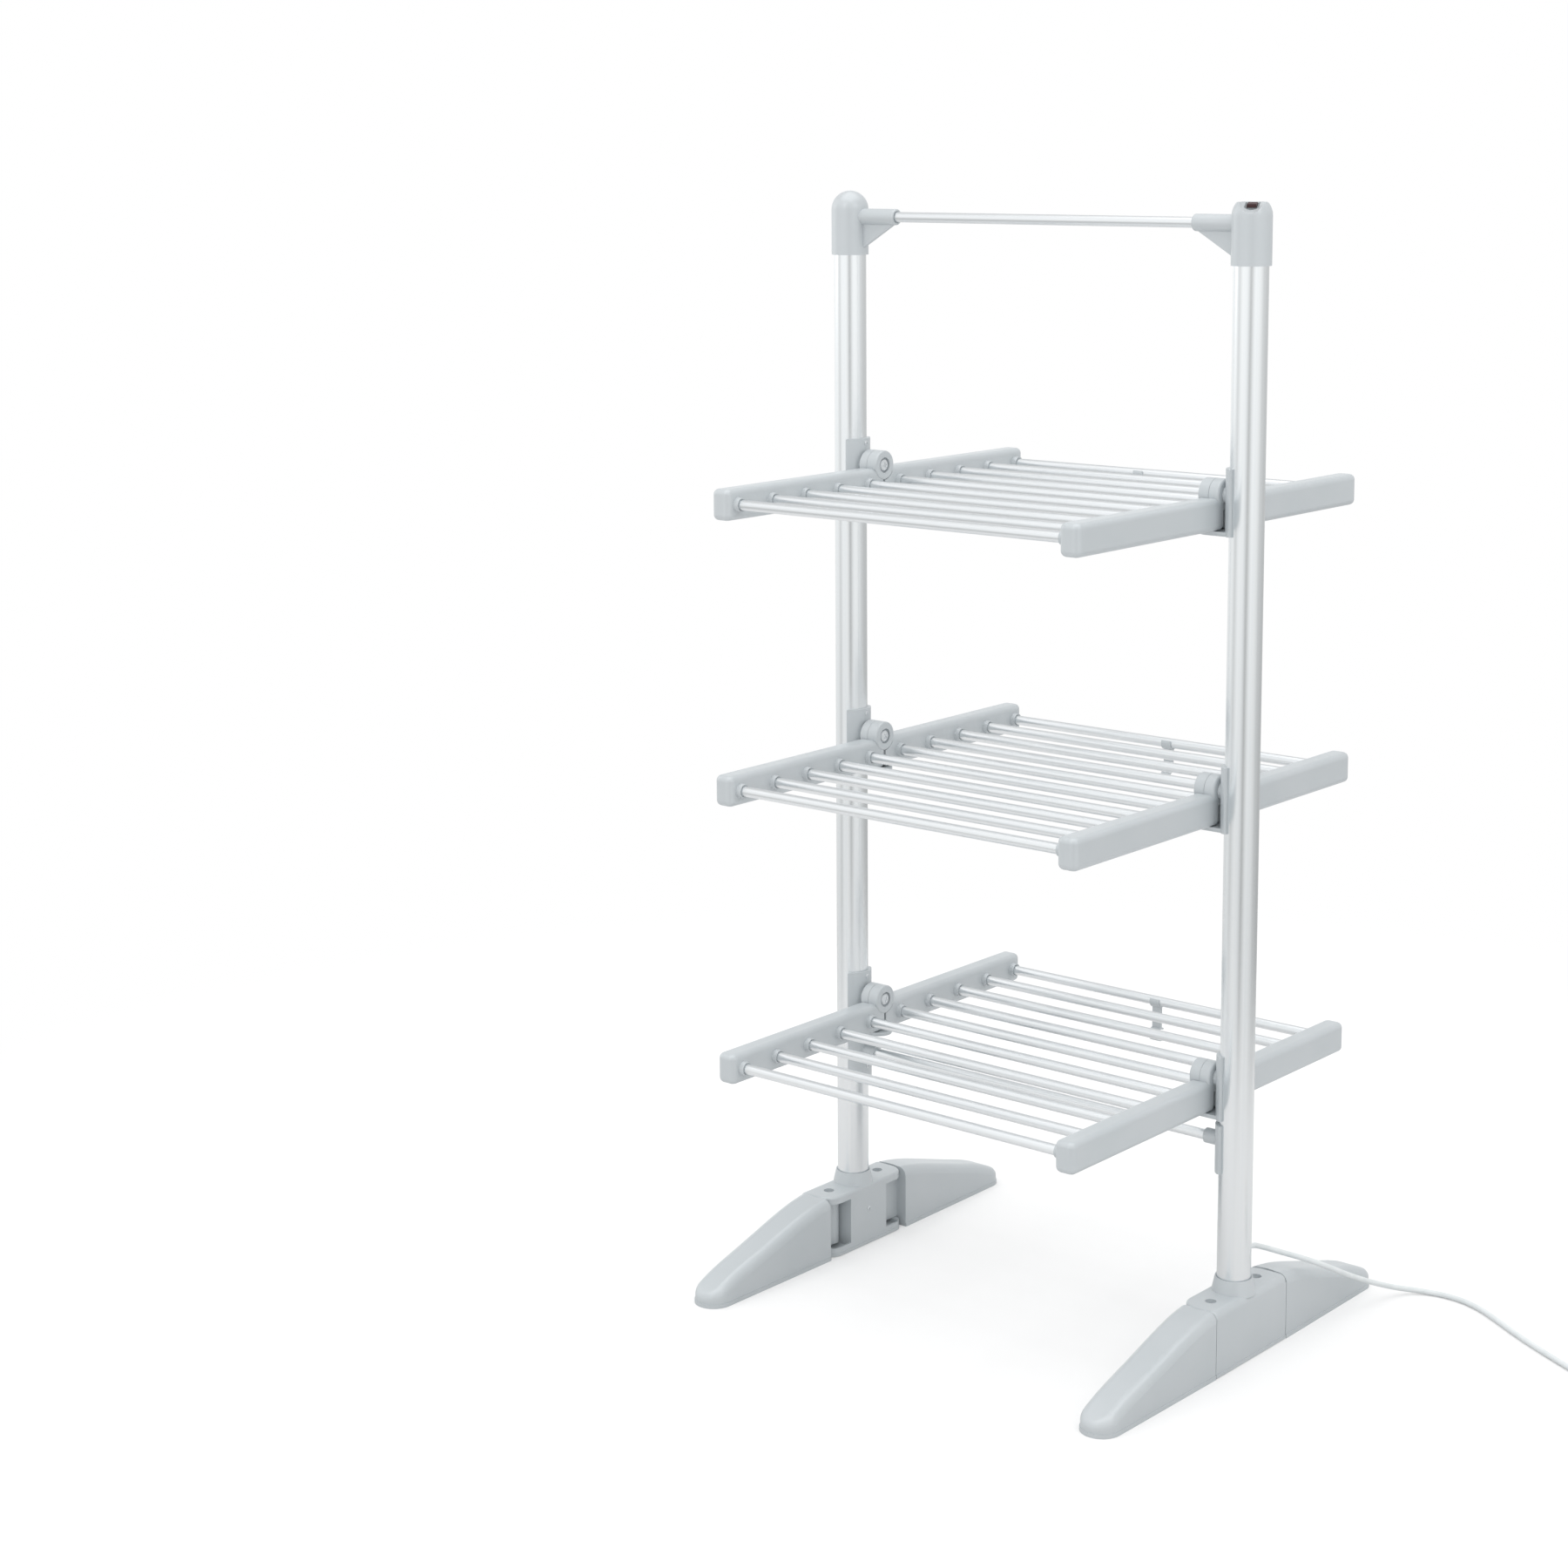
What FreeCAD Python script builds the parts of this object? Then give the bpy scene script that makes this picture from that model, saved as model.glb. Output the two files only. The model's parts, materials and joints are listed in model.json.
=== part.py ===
import FreeCAD
import Part
import math
import os

# Heated clothes airer. Two uprights on folding feet carry three tiers of heated wings,
# which fold up about hinge pins. Millimetres: X runs along the bars, Y to the rear, Z up.
# The origin is on the floor, midway between the uprights.

# Clearances
slide_clearance = 0.05
running_clearance = 0.05
face_gap = 0.3
moving_gap = 0.4

# Uprights
upright_spacing = 604.0
upright_radius = 21.0
upright_wall = 1.5

# Heated bars
bars_per_wing = 5
bar_radius = 6.5
bar_wall = 1.2
bar_first = 32.0
bar_pitch = 64.0
core_radius = 5.0

# Wing arms
arm_thickness = 28.0
arm_height = 39.0
arm_drop = 23.0
arm_end = 19.0
arm_slot = 4.0
arm_edge_round = 7.0
arm_tip_round = 9.0
arm_heel_round = 8.0
bar_boss_radius = 9.3
bar_boss_tip_radius = 8.6
bar_boss_length = 7.0
bar_seat_depth = 10.0
bar_mouth_bevel = 1.2

# Wing hinges
knuckle_radius = 19.0
knuckle_proud = 1.0
knuckle_inner_round = 2.0
knuckle_outer_round = 4.0
hinge_pin_radius = 4.0
hinge_head_radius = 7.5
hinge_head_height = 3.0
hinge_head_round = 1.2
hinge_recess_radius = 10.0
hinge_recess_depth = 4.0
hinge_boss_radius = 11.0
hinge_boss_length = 2.15

# Hinge brackets
saddle_wall = 4.5
saddle_half_angle = 66.0
saddle_above_axis = 33.0
saddle_corner_round = 2.0
ledge_overhang = 7.5
ledge_half_width = 19.0
ledge_plate = 3.0
ledge_step = 2.3
ledge_step_inset = 1.2
ledge_gap = 0.2

# Tiers
tier_names = ("lower", "middle", "upper")
lowest_axis = 349.0
fold_clearance = 4.0

# Top rail and caps
rail_radius = 6.5
rail_wall = 1.2
rail_above_axis = 320.0
cap_radius = 24.0
cap_skirt = 49.0
cap_crown = 33.0
cap_seat_below_rail = 6.7
rail_socket_radius = 10.3
rail_socket_reach = 78.0
rail_socket_depth = 52.0
rail_socket_bevel = 1.4
rail_socket_round = 2.0
cap_web_thickness = 5.0
cap_web_foot = 9.0
cap_web_tip = 4.0

# Switch in the right cap
switch_crown_drop = 8.0
switch_crown_round = 4.0
scoop_radius = 16.0
scoop_rise = 0.8
trough_depth = 14.5
trough_turn = 25.0
trough_tilt = 18.0
bezel_width = 17.0
bezel_length = 21.0
bezel_height = 2.2
bezel_corner_round = 2.0
switch_width = 14.6
switch_length = 18.6
switch_depth = 13.0
rocker_width = 11.5
rocker_half_length = 7.4
rocker_end_height = 4.6
rocker_middle_height = 3.0
rocker_side_foot = 0.5
rocker_base_half_length = 5.5
rocker_base_depth = 4.0
rocker_axis_height = 0.5
rocker_tilt = 10.0
trunnion_radius = 1.2
trunnion_length = 0.9
switch_well_half_length = 8.2
switch_well_depth = 6.0

# Lower rail
lower_rail_drop = 77.0
lower_saddle_above = 23.0
lower_saddle_below = 38.0
lower_boss_radius = 9.5
lower_boss_reach = 42.0
lower_boss_depth = 10.0

# Feet
foot_half_width = 28.0
hub_half_length = 80.0
hub_base_bottom = 1.0
hub_base_top = 12.0
hub_tray_floor = 7.0
hub_tray_rim = 3.0
hub_roof_bottom = 74.0
hub_top = 84.0
hub_wall = 3.0
hub_corner_round = 22.0
hub_edge_round = 3.0
hub_crest_round = 9.0
collar_foot_radius = 27.6
collar_rim_radius = 23.2
collar_height = 17.0
collar_mouth_bevel = 1.3
upright_foot = 13.0
leg_pin_inset = 28.0
leg_pin_floor = 2.0
leg_pin_radius = 4.0
leg_pin_head_radius = 6.6
leg_pin_head_height = 2.5
leg_pin_recess_radius = 7.0
leg_pin_recess_depth = 8.0
leg_seam = 1.0
leg_length = 230.0
leg_nose_length = 26.0
leg_nose_half_width = 25.5
leg_crown = ((0.0, hub_top), (40.0, 77.3), (90.0, 63.6), (150.0, 46.3), (200.0, 30.3), (231.0, 14.0))
leg_crown_round = 12.0
leg_knuckle_radius = 13.0
leg_neck_half_width = 12.0
leg_knuckle_gap = 0.5
leg_swing_gap = 0.5
leg_web_gap = 1.0
sole_height = 5.0
sole_lip = 1.0

# Wing clips
clip_width = 14.0
clip_ring_radius = 8.6
clip_ring_mouth = 60.0
clip_strap = 3.0
clip_hook_radius = 7.0
clip_hook_wall = 2.5
clip_hook_mouth = 50.0
clip_places = {"lower": -3.0, "middle": 10.0, "upper": -40.0}

# Supply lead
cord_radius = 3.5
gland_angle = 105.0
gland_above_collar = 16.0
gland_stem_radius = 4.8
gland_flange_radius = 8.0
gland_flange_length = 4.0
gland_neck_radius = 6.4
gland_tip_radius = 4.6
gland_length = 22.0
wire_radius = 3.0
wire_rise_below_cap = 60.0
wire_centred_below_cap = 10.0
cord_lead = 25.0
cord_route = (
    (286.0, 93.0, 106.0),
    (306.0, 112.0, 97.0),
    (336.0, 120.5, 93.0),
    (353.5, 146.0, 79.0),
    (356.0, 185.0, 58.0),
    (359.0, 240.0, 32.0),
    (366.0, 290.0, 11.0),
    (388.0, 318.0, 3.6),
    (430.0, 326.0, 3.6),
    (470.0, 316.0, 3.6),
    (509.0, 293.0, 3.6),
    (560.0, 260.0, 3.6),
    (640.0, 217.0, 3.6),
)
coil_start = (712.0, 184.0, 4.8)
coil_radius = 46.0
coil_pitch = 8.8
coil_layer = 8.4
coil_turns_in = 2.0
coil_turns_out = 1.5
coil_exit_run = 36.0
tie_thickness = 0.8
tie_width = 9.0
tie_angle = 155.0
plug_width = 50.0
plug_length = 46.0
plug_height = 24.0
plug_edge_round = 6.0
plug_relief_length = 26.0
plug_relief_radius = 6.5
plug_relief_tip = 4.6
plug_pin_seat = 6.0
earth_pin_place = 33.0
earth_pin_along = 8.0
earth_pin_across = 4.0
earth_pin_height = 22.7
line_pin_place = 11.0
line_pin_spacing = 22.0
line_pin_along = 4.0
line_pin_across = 6.4
line_pin_height = 17.7

# Sizes that follow from the ones above
upright_x = upright_spacing / 2
arm_offset = upright_radius + slide_clearance + saddle_wall + hinge_boss_length + face_gap
arm_outer = upright_x - arm_offset
arm_inner = arm_outer - arm_thickness
arm_middle = (arm_inner + arm_outer) / 2
arm_reach = bar_first + (bars_per_wing - 1) * bar_pitch + arm_end
arm_top = arm_height / 2 - arm_drop
arm_bottom = -arm_height / 2 - arm_drop
ledge_top = arm_bottom - ledge_gap
ledge_bottom = ledge_top - ledge_plate - ledge_step
tier_spacing = arm_reach - ledge_bottom + fold_clearance
tier_axes = {name: lowest_axis + k * tier_spacing for k, name in enumerate(tier_names)}
bar_places = [bar_first + k * bar_pitch for k in range(bars_per_wing)]
bar_half_length = arm_inner + bar_seat_depth - face_gap
rail_z = tier_axes["upper"] + rail_above_axis
cap_bottom = rail_z - cap_skirt
cap_top = rail_z + cap_crown
dome_z = cap_top - cap_radius
upright_top = rail_z - cap_seat_below_rail - face_gap
trough_floor = cap_top - trough_depth
lower_rail_z = lowest_axis - lower_rail_drop
saddle_inner = upright_radius + slide_clearance
saddle_outer = saddle_inner + saddle_wall
leg_start = hub_half_length + leg_seam
leg_tip = leg_start + leg_length
leg_pin_offset = hub_half_length - leg_pin_inset
hub_web_half_length = leg_pin_offset - leg_knuckle_radius - leg_web_gap
hub_corner_off_pin = math.hypot(foot_half_width - hub_corner_round, leg_pin_inset - hub_corner_round)
leg_hollow_radius = hub_corner_off_pin + hub_corner_round + leg_swing_gap
gland_height = hub_top + collar_height + gland_above_collar
coil_end_run = 2 * cord_radius

V = FreeCAD.Vector
ORIGIN = V(0, 0, 0)
AXIS_X = V(1, 0, 0)
AXIS_Y = V(0, 1, 0)
AXIS_Z = V(0, 0, 1)


def box(x0, x1, y0, y1, z0, z1):
    return Part.makeBox(x1 - x0, y1 - y0, z1 - z0, V(x0, y0, z0))


def rod(radius, start, end):
    line = end - start
    return Part.makeCylinder(radius, line.Length, start, line)


def taper(radius_start, radius_end, start, end):
    line = end - start
    return Part.makeCone(radius_start, radius_end, line.Length, start, line)


def tube(radius, wall, start, end):
    line = (end - start).normalize()
    return rod(radius, start, end).cut(rod(radius - wall, start - line, end + line))


def prism(points, along):
    return Part.Face(Part.makePolygon([V(*p) for p in points + points[:1]])).extrude(V(*along))


def joined(first, *others):
    return first.fuse(list(others)).removeSplitter()


def mirrored(shape, normal):
    return shape.mirror(ORIGIN, normal)


def half_turned(shape):
    copy = shape.copy()
    copy.rotate(ORIGIN, AXIS_Z, 180)
    return copy


def raised(shape, height):
    copy = shape.copy()
    copy.translate(V(0, 0, height))
    return copy


def edges_along(shape, axis, keep):
    picked = []
    for edge in shape.Edges:
        if len(edge.Vertexes) < 2:
            continue
        line = edge.Vertexes[1].Point - edge.Vertexes[0].Point
        straight = abs(abs(line.dot(axis)) - line.Length) < 1e-6
        if straight and keep(edge.CenterOfMass):
            picked.append(edge)
    return picked


def save(name, *solids):
    Part.makeCompound(list(solids)).exportStep("parts/" + name + ".step")


# Uprights and the two cross rails

def make_upright():
    post = tube(upright_radius, upright_wall, V(upright_x, 0, upright_foot), V(upright_x, 0, upright_top))
    return post


def make_rail(end_from_upright, height):
    end = upright_x - end_from_upright
    return tube(rail_radius, rail_wall, V(-end, 0, height), V(end, 0, height))


# Top caps: domed sockets with an arm for the top rail and a web under it

def make_cap():
    skirt = rod(cap_radius, V(upright_x, 0, cap_bottom), V(upright_x, 0, dome_z))
    dome = Part.makeSphere(cap_radius, V(upright_x, 0, dome_z), AXIS_Z, 0, 90, 360)
    mouth = V(upright_x - rail_socket_reach, 0, rail_z)
    socket = rod(rail_socket_radius, mouth, V(upright_x, 0, rail_z))
    lip = [e for e in socket.Edges if abs(e.CenterOfMass.x - mouth.x) < 1e-6]
    socket = socket.makeFillet(rail_socket_round, lip[:1])
    web_x = upright_x - cap_radius + 1
    web_low = cap_bottom + cap_web_foot
    web_high = rail_z - rail_socket_radius / 2
    half = cap_web_thickness / 2
    tip_x = mouth.x + cap_web_tip
    corners = [(web_x, -half, web_low), (tip_x, -half, web_high - cap_web_tip), (web_x, -half, web_high)]
    web = prism(corners, (0, cap_web_thickness, 0))
    cap = joined(skirt, dome, socket, web)
    bore_top = rail_z - cap_seat_below_rail
    post_bore = rod(saddle_inner, V(upright_x, 0, cap_bottom - 1), V(upright_x, 0, bore_top))
    bore_radius = rail_radius + slide_clearance
    rail_bore = rod(bore_radius, mouth - AXIS_X, mouth + AXIS_X * rail_socket_depth)
    bevel_end = mouth + AXIS_X * rail_socket_bevel
    bevel = taper(bore_radius + rail_socket_bevel, bore_radius, mouth, bevel_end)
    return cap.cut([post_bore, rail_bore, bevel])


def turned_to_trough(shape):
    copy = shape.copy()
    copy.rotate(V(upright_x, 0, trough_floor), AXIS_X, trough_tilt)
    copy.rotate(V(upright_x, 0, 0), AXIS_Z, trough_turn)
    return copy


def make_switch_cap(cap):
    crown = cap_top - switch_crown_drop
    reach = 2 * cap_radius
    cap = cap.cut(box(upright_x - reach, upright_x + reach, -reach, reach, crown, cap_top + 1))
    rim = [e for e in cap.Edges if abs(e.BoundBox.ZMin - crown) < 0.01 and e.BoundBox.ZLength < 0.01]
    cap = cap.makeFillet(switch_crown_round, rim)
    centre = V(upright_x, 0, trough_floor + scoop_rise + scoop_radius)
    scoop = rod(scoop_radius, centre - AXIS_Y * reach, centre + AXIS_Y * reach)
    half_w = bezel_width / 2 + slide_clearance
    half_l = bezel_length / 2 + slide_clearance
    seat = box(upright_x - half_w, upright_x + half_w, -half_l, half_l, trough_floor, trough_floor + scoop_radius)
    seat = seat.makeFillet(bezel_corner_round, edges_along(seat, AXIS_Z, lambda c: True))
    width = switch_width / 2 + slide_clearance
    length = switch_length / 2 + slide_clearance
    pocket_floor = trough_floor - switch_depth
    pocket = box(upright_x - width, upright_x + width, -length, length, pocket_floor, trough_floor + 1)
    wire_hole = rod(wire_radius + face_gap, V(upright_x, 0, upright_top), V(upright_x, 0, pocket_floor + 1))
    return cap.cut([turned_to_trough(scoop), turned_to_trough(seat), turned_to_trough(pocket), wire_hole])


def make_switch_body():
    half_w = bezel_width / 2
    half_l = bezel_length / 2
    bezel_top = trough_floor + bezel_height
    bezel = box(upright_x - half_w, upright_x + half_w, -half_l, half_l, trough_floor, bezel_top)
    corners = edges_along(bezel, AXIS_Z, lambda c: True)
    bezel = bezel.makeFillet(bezel_corner_round, corners)
    width = switch_width / 2
    length = switch_length / 2
    base = trough_floor - switch_depth
    case = box(upright_x - width, upright_x + width, -length, length, base, trough_floor)
    well_w = rocker_width / 2 + moving_gap
    well = box(upright_x - well_w, upright_x + well_w, -switch_well_half_length, switch_well_half_length,
               trough_floor - switch_well_depth, bezel_top + 1)
    reach = AXIS_X * (rocker_width / 2 + trunnion_length + face_gap)
    axis = V(upright_x, 0, trough_floor + rocker_axis_height)
    bearing = rod(trunnion_radius + running_clearance, axis - reach, axis + reach)
    return turned_to_trough(joined(bezel, case).cut([well, bearing]))


def make_rocker():
    half = rocker_width / 2
    axis_z = trough_floor + rocker_axis_height
    outline = [
        (-rocker_base_half_length, -rocker_base_depth),
        (rocker_base_half_length, -rocker_base_depth),
        (rocker_half_length, rocker_side_foot),
        (rocker_half_length, rocker_end_height),
        (0.0, rocker_middle_height),
        (-rocker_half_length, rocker_end_height),
        (-rocker_half_length, rocker_side_foot),
    ]
    body = prism([(upright_x - half, y, axis_z + z) for y, z in outline], (rocker_width, 0, 0))
    reach = half + trunnion_length
    trunnions = rod(trunnion_radius, V(upright_x - reach, 0, axis_z), V(upright_x + reach, 0, axis_z))
    rocker = joined(body, trunnions)
    rocker.rotate(V(upright_x, 0, axis_z), AXIS_X, -rocker_tilt)
    return turned_to_trough(rocker)


# Saddles that clasp the inner side of an upright

def make_saddle(bottom, top):
    foot = V(upright_x, 0, bottom)
    wedge = Part.makeCylinder(saddle_outer, top - bottom, foot, AXIS_Z, 2 * saddle_half_angle)
    wedge.rotate(foot, AXIS_Z, 180 - saddle_half_angle)
    side = saddle_outer * math.sin(math.radians(saddle_half_angle))
    plate = box(upright_x - saddle_outer - 1, upright_x, -side, side, bottom, top)
    corners = edges_along(plate, AXIS_X, lambda c: True)
    plate = plate.makeFillet(saddle_corner_round, corners)
    return wedge.common(plate)


def post_core(bottom, top):
    return rod(saddle_inner, V(upright_x, 0, bottom - 1), V(upright_x, 0, top + 1))


def make_hinge_bracket():
    saddle = make_saddle(ledge_bottom, saddle_above_axis)
    boss_face = arm_outer + face_gap
    boss = rod(hinge_boss_radius, V(boss_face, 0, 0), V(upright_x - upright_radius / 2, 0, 0))
    ledge_end = arm_inner - ledge_overhang
    layers = []
    for inset, low, high in ((0.0, ledge_top - ledge_plate, ledge_top),
                             (ledge_step_inset, ledge_bottom, ledge_top - ledge_plate)):
        half = ledge_half_width - inset
        centre = ledge_end + ledge_half_width
        layers.append(box(centre, upright_x - upright_radius / 2, -half, half, low, high))
        layers.append(rod(half, V(centre, 0, low), V(centre, 0, high)))
    bore = rod(hinge_pin_radius + running_clearance, V(boss_face - 1, 0, 0), V(upright_x, 0, 0))
    bracket = joined(saddle, boss, *layers)
    return bracket.cut([post_core(ledge_bottom, saddle_above_axis), bore])


def make_lower_bracket():
    bottom = lower_rail_z - lower_saddle_below
    top = lower_rail_z + lower_saddle_above
    mouth = V(upright_x - lower_boss_reach, 0, lower_rail_z)
    boss = rod(lower_boss_radius, mouth, V(upright_x - upright_radius / 2, 0, lower_rail_z))
    bore = rod(rail_radius + slide_clearance, mouth - AXIS_X, mouth + AXIS_X * lower_boss_depth)
    return joined(make_saddle(bottom, top), boss).cut([post_core(bottom, top), bore])


# Wing arms: two mouldings, one with the inner and one with the outer knuckle of the hinge

def make_arm(has_inner_knuckle):
    blade = box(arm_inner, arm_outer, arm_slot / 2, arm_reach, arm_bottom, arm_top)
    blade = blade.makeFillet(arm_tip_round, edges_along(blade, AXIS_Z, lambda c: c.y > arm_slot))
    heel = edges_along(blade, AXIS_Z, lambda c: c.y < arm_slot and c.x > arm_middle)
    blade = blade.makeFillet(arm_heel_round, heel)
    rims = [e for e in blade.Edges if abs(e.CenterOfMass.z + arm_drop) > arm_height / 2 - 0.1]
    blade = blade.makeFillet(arm_edge_round, rims)
    inner_span = (arm_inner - knuckle_proud, arm_middle - moving_gap / 2)
    outer_span = (arm_middle + moving_gap / 2, arm_outer)
    if has_inner_knuckle:
        own, other = inner_span, outer_span
        rim_x, rim_round = own[0], knuckle_inner_round
    else:
        own, other = outer_span, inner_span
        rim_x, rim_round = own[1], knuckle_outer_round
    clear_start = V(other[0] - moving_gap, 0, 0)
    clear_end = V(other[1] + moving_gap, 0, 0)
    blade = blade.cut(rod(knuckle_radius + moving_gap, clear_start, clear_end))
    knuckle = rod(knuckle_radius, V(own[0], 0, 0), V(own[1], 0, 0))
    rim = [e for e in knuckle.Edges if abs(e.CenterOfMass.x - rim_x) < 1e-6]
    knuckle = knuckle.makeFillet(rim_round, rim[:1])
    cuts = [rod(hinge_pin_radius + running_clearance, V(own[0] - 1, 0, 0), V(own[1] + 1, 0, 0))]
    if has_inner_knuckle:
        cuts.append(rod(hinge_recess_radius, V(own[0] - 1, 0, 0), V(own[0] + hinge_recess_depth, 0, 0)))
    bosses = []
    for y in bar_places:
        root = V(arm_inner + 1, y, -arm_drop)
        tip = V(arm_inner - bar_boss_length, y, -arm_drop)
        bosses.append(taper(bar_boss_radius, bar_boss_tip_radius, root, tip))
        bore = bar_radius + slide_clearance
        cuts.append(rod(bore, tip - AXIS_X, V(arm_inner + bar_seat_depth, y, -arm_drop)))
        cuts.append(taper(bore + bar_mouth_bevel, bore, tip, tip + AXIS_X * bar_mouth_bevel))
    return joined(blade, knuckle, *bosses).cut(cuts)


def make_hinge_pin():
    seat = arm_inner - knuckle_proud + hinge_recess_depth - face_gap
    head = rod(hinge_head_radius, V(seat - hinge_head_height, 0, 0), V(seat, 0, 0))
    rim = [e for e in head.Edges if abs(e.CenterOfMass.x - seat + hinge_head_height) < 1e-6]
    head = head.makeFillet(hinge_head_round, rim[:1])
    shank = rod(hinge_pin_radius, V(seat, 0, 0), V(upright_x - saddle_inner - face_gap, 0, 0))
    return joined(head, shank)


def make_bars(direction):
    bars = []
    for y in bar_places:
        start = V(-bar_half_length, direction * y, -arm_drop)
        bars.append(tube(bar_radius, bar_wall, start, V(-start.x, start.y, start.z)))
    return Part.makeCompound(bars)


def make_cores(direction):
    cores = []
    for y in bar_places:
        start = V(-bar_half_length, direction * y, -arm_drop)
        cores.append(rod(core_radius, start, V(-start.x, start.y, start.z)))
    return Part.makeCompound(cores)


# Clip that swings on the rear-most bar and hooks the front wing when both are folded

def make_clip(place):
    bar_y = bar_places[-1]
    half = clip_width / 2
    hook_drop = 2 * arm_drop
    left = V(place - half, bar_y, -arm_drop)
    right = V(place + half, bar_y, -arm_drop)
    down = V(0, 0, -hook_drop)
    ring = rod(clip_ring_radius, left, right)
    hook = rod(clip_hook_radius + clip_hook_wall, left + down, right + down)
    strap_y = bar_y - clip_strap / 2
    strap = box(left.x, right.x, strap_y, strap_y + clip_strap,
                -arm_drop - hook_drop + clip_hook_radius + 1, -arm_drop - bar_radius - 1)
    bar_bore = rod(bar_radius + running_clearance, left - AXIS_X, right + AXIS_X)
    hook_bore = rod(clip_hook_radius, left + down - AXIS_X, right + down + AXIS_X)
    mouths = []
    hook_outer = clip_hook_radius + clip_hook_wall
    for centre, size, spread, facing in ((left, clip_ring_radius, clip_ring_mouth, 90.0),
                                         (left + down, hook_outer, clip_hook_mouth, 0.0)):
        rays = [math.radians(facing - spread), math.radians(facing), math.radians(facing + spread)]
        fan = [(left.x - 1, centre.y, centre.z)]
        for ray in rays:
            fan.append((left.x - 1, centre.y + 2 * size * math.cos(ray), centre.z + 2 * size * math.sin(ray)))
        mouths.append(prism(fan, (clip_width + 2, 0, 0)))
    return joined(ring, strap, hook).cut([bar_bore, hook_bore] + mouths)


# Feet: a hub under each upright, and two legs that swing in on vertical pins

def make_hub():
    half = foot_half_width - sole_lip
    x0 = upright_x - half
    x1 = upright_x + half
    lip = sole_lip
    sole = box(x0 - lip, x1 + lip, -hub_half_length, hub_half_length, hub_base_bottom, sole_height)
    sole = sole.makeFillet(hub_corner_round, edges_along(sole, AXIS_Z, lambda c: c.x < upright_x))
    base = box(x0, x1, -hub_half_length, hub_half_length, sole_height, hub_base_top)
    base = base.makeFillet(hub_corner_round, edges_along(base, AXIS_Z, lambda c: c.x < upright_x))
    roof = box(x0, x1, -hub_half_length, hub_half_length, hub_roof_bottom, hub_top)
    roof = roof.makeFillet(hub_corner_round, edges_along(roof, AXIS_Z, lambda c: c.x < upright_x))
    crest = edges_along(roof, AXIS_Y, lambda c: c.z > hub_top - 0.1 and c.x > upright_x)
    roof = roof.makeFillet(hub_crest_round, crest)
    brow = edges_along(roof, AXIS_Y, lambda c: c.z > hub_top - 0.1 and c.x < upright_x)
    roof = roof.makeFillet(hub_edge_round, brow)
    web = box(x0, x1, -hub_web_half_length, hub_web_half_length, hub_base_top, hub_roof_bottom)
    wall = box(x1 - hub_wall, x1, -hub_half_length, hub_half_length, hub_base_top, hub_roof_bottom)
    collar_foot = V(upright_x, 0, hub_top - hub_edge_round)
    collar_rim = V(upright_x, 0, hub_top + collar_height)
    collar = taper(collar_foot_radius, collar_rim_radius, collar_foot, collar_rim)
    hub = joined(sole, base, roof, web, wall, collar)
    cuts = [rod(saddle_inner, V(upright_x, 0, upright_foot), collar_rim + AXIS_Z)]
    bevel_foot = collar_rim - AXIS_Z * collar_mouth_bevel
    cuts.append(taper(saddle_inner, saddle_inner + collar_mouth_bevel, bevel_foot, collar_rim))
    for y in (-leg_pin_offset, leg_pin_offset):
        shank = leg_pin_radius + running_clearance
        cuts.append(rod(shank, V(upright_x, y, hub_base_bottom + leg_pin_floor), V(upright_x, y, hub_top + 1)))
        recess_floor = V(upright_x, y, hub_top - leg_pin_recess_depth)
        cuts.append(rod(leg_pin_recess_radius, recess_floor, V(upright_x, y, hub_top + 1)))
        near = hub_web_half_length
        far = hub_half_length - hub_corner_round / 2
        tray = box(x0 + hub_tray_rim, x1 - hub_wall, near, far, hub_tray_floor, hub_base_top + 1)
        cuts.append(tray if y > 0 else mirrored(tray, AXIS_Y))
    return hub.cut(cuts)


def leg_plan(inset, bottom, top):
    near = leg_start
    far = leg_tip - leg_nose_length
    wide = foot_half_width - inset
    nose = leg_nose_half_width - inset
    points = [V(upright_x + s * w, y, bottom) for s, w, y in
              ((1, wide, near), (1, nose, far), (-1, nose, far), (-1, wide, near))]
    tip = V(upright_x, leg_tip - inset, bottom)
    edges = [
        Part.makeLine(points[0], points[1]),
        Part.Arc(points[1], tip, points[2]).toShape(),
        Part.makeLine(points[2], points[3]),
        Part.makeLine(points[3], points[0]),
    ]
    return Part.Face(Part.Wire(edges)).extrude(V(0, 0, top - bottom))


def leg_side():
    # The crown leaves the hub nearly level, runs down an even slope and bends over to the tip.
    plane = upright_x - 2 * foot_half_width
    points = [V(plane, leg_start + y, z) for y, z in leg_crown]
    crown = Part.BSplineCurve()
    crown.interpolate(points)
    foot = V(plane, points[-1].y, 0)
    heel = V(plane, leg_start, 0)
    edges = [
        crown.toShape(),
        Part.makeLine(points[-1], foot),
        Part.makeLine(foot, heel),
        Part.makeLine(heel, points[0]),
    ]
    return Part.Face(Part.Wire(edges)).extrude(V(4 * foot_half_width, 0, 0))


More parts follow.
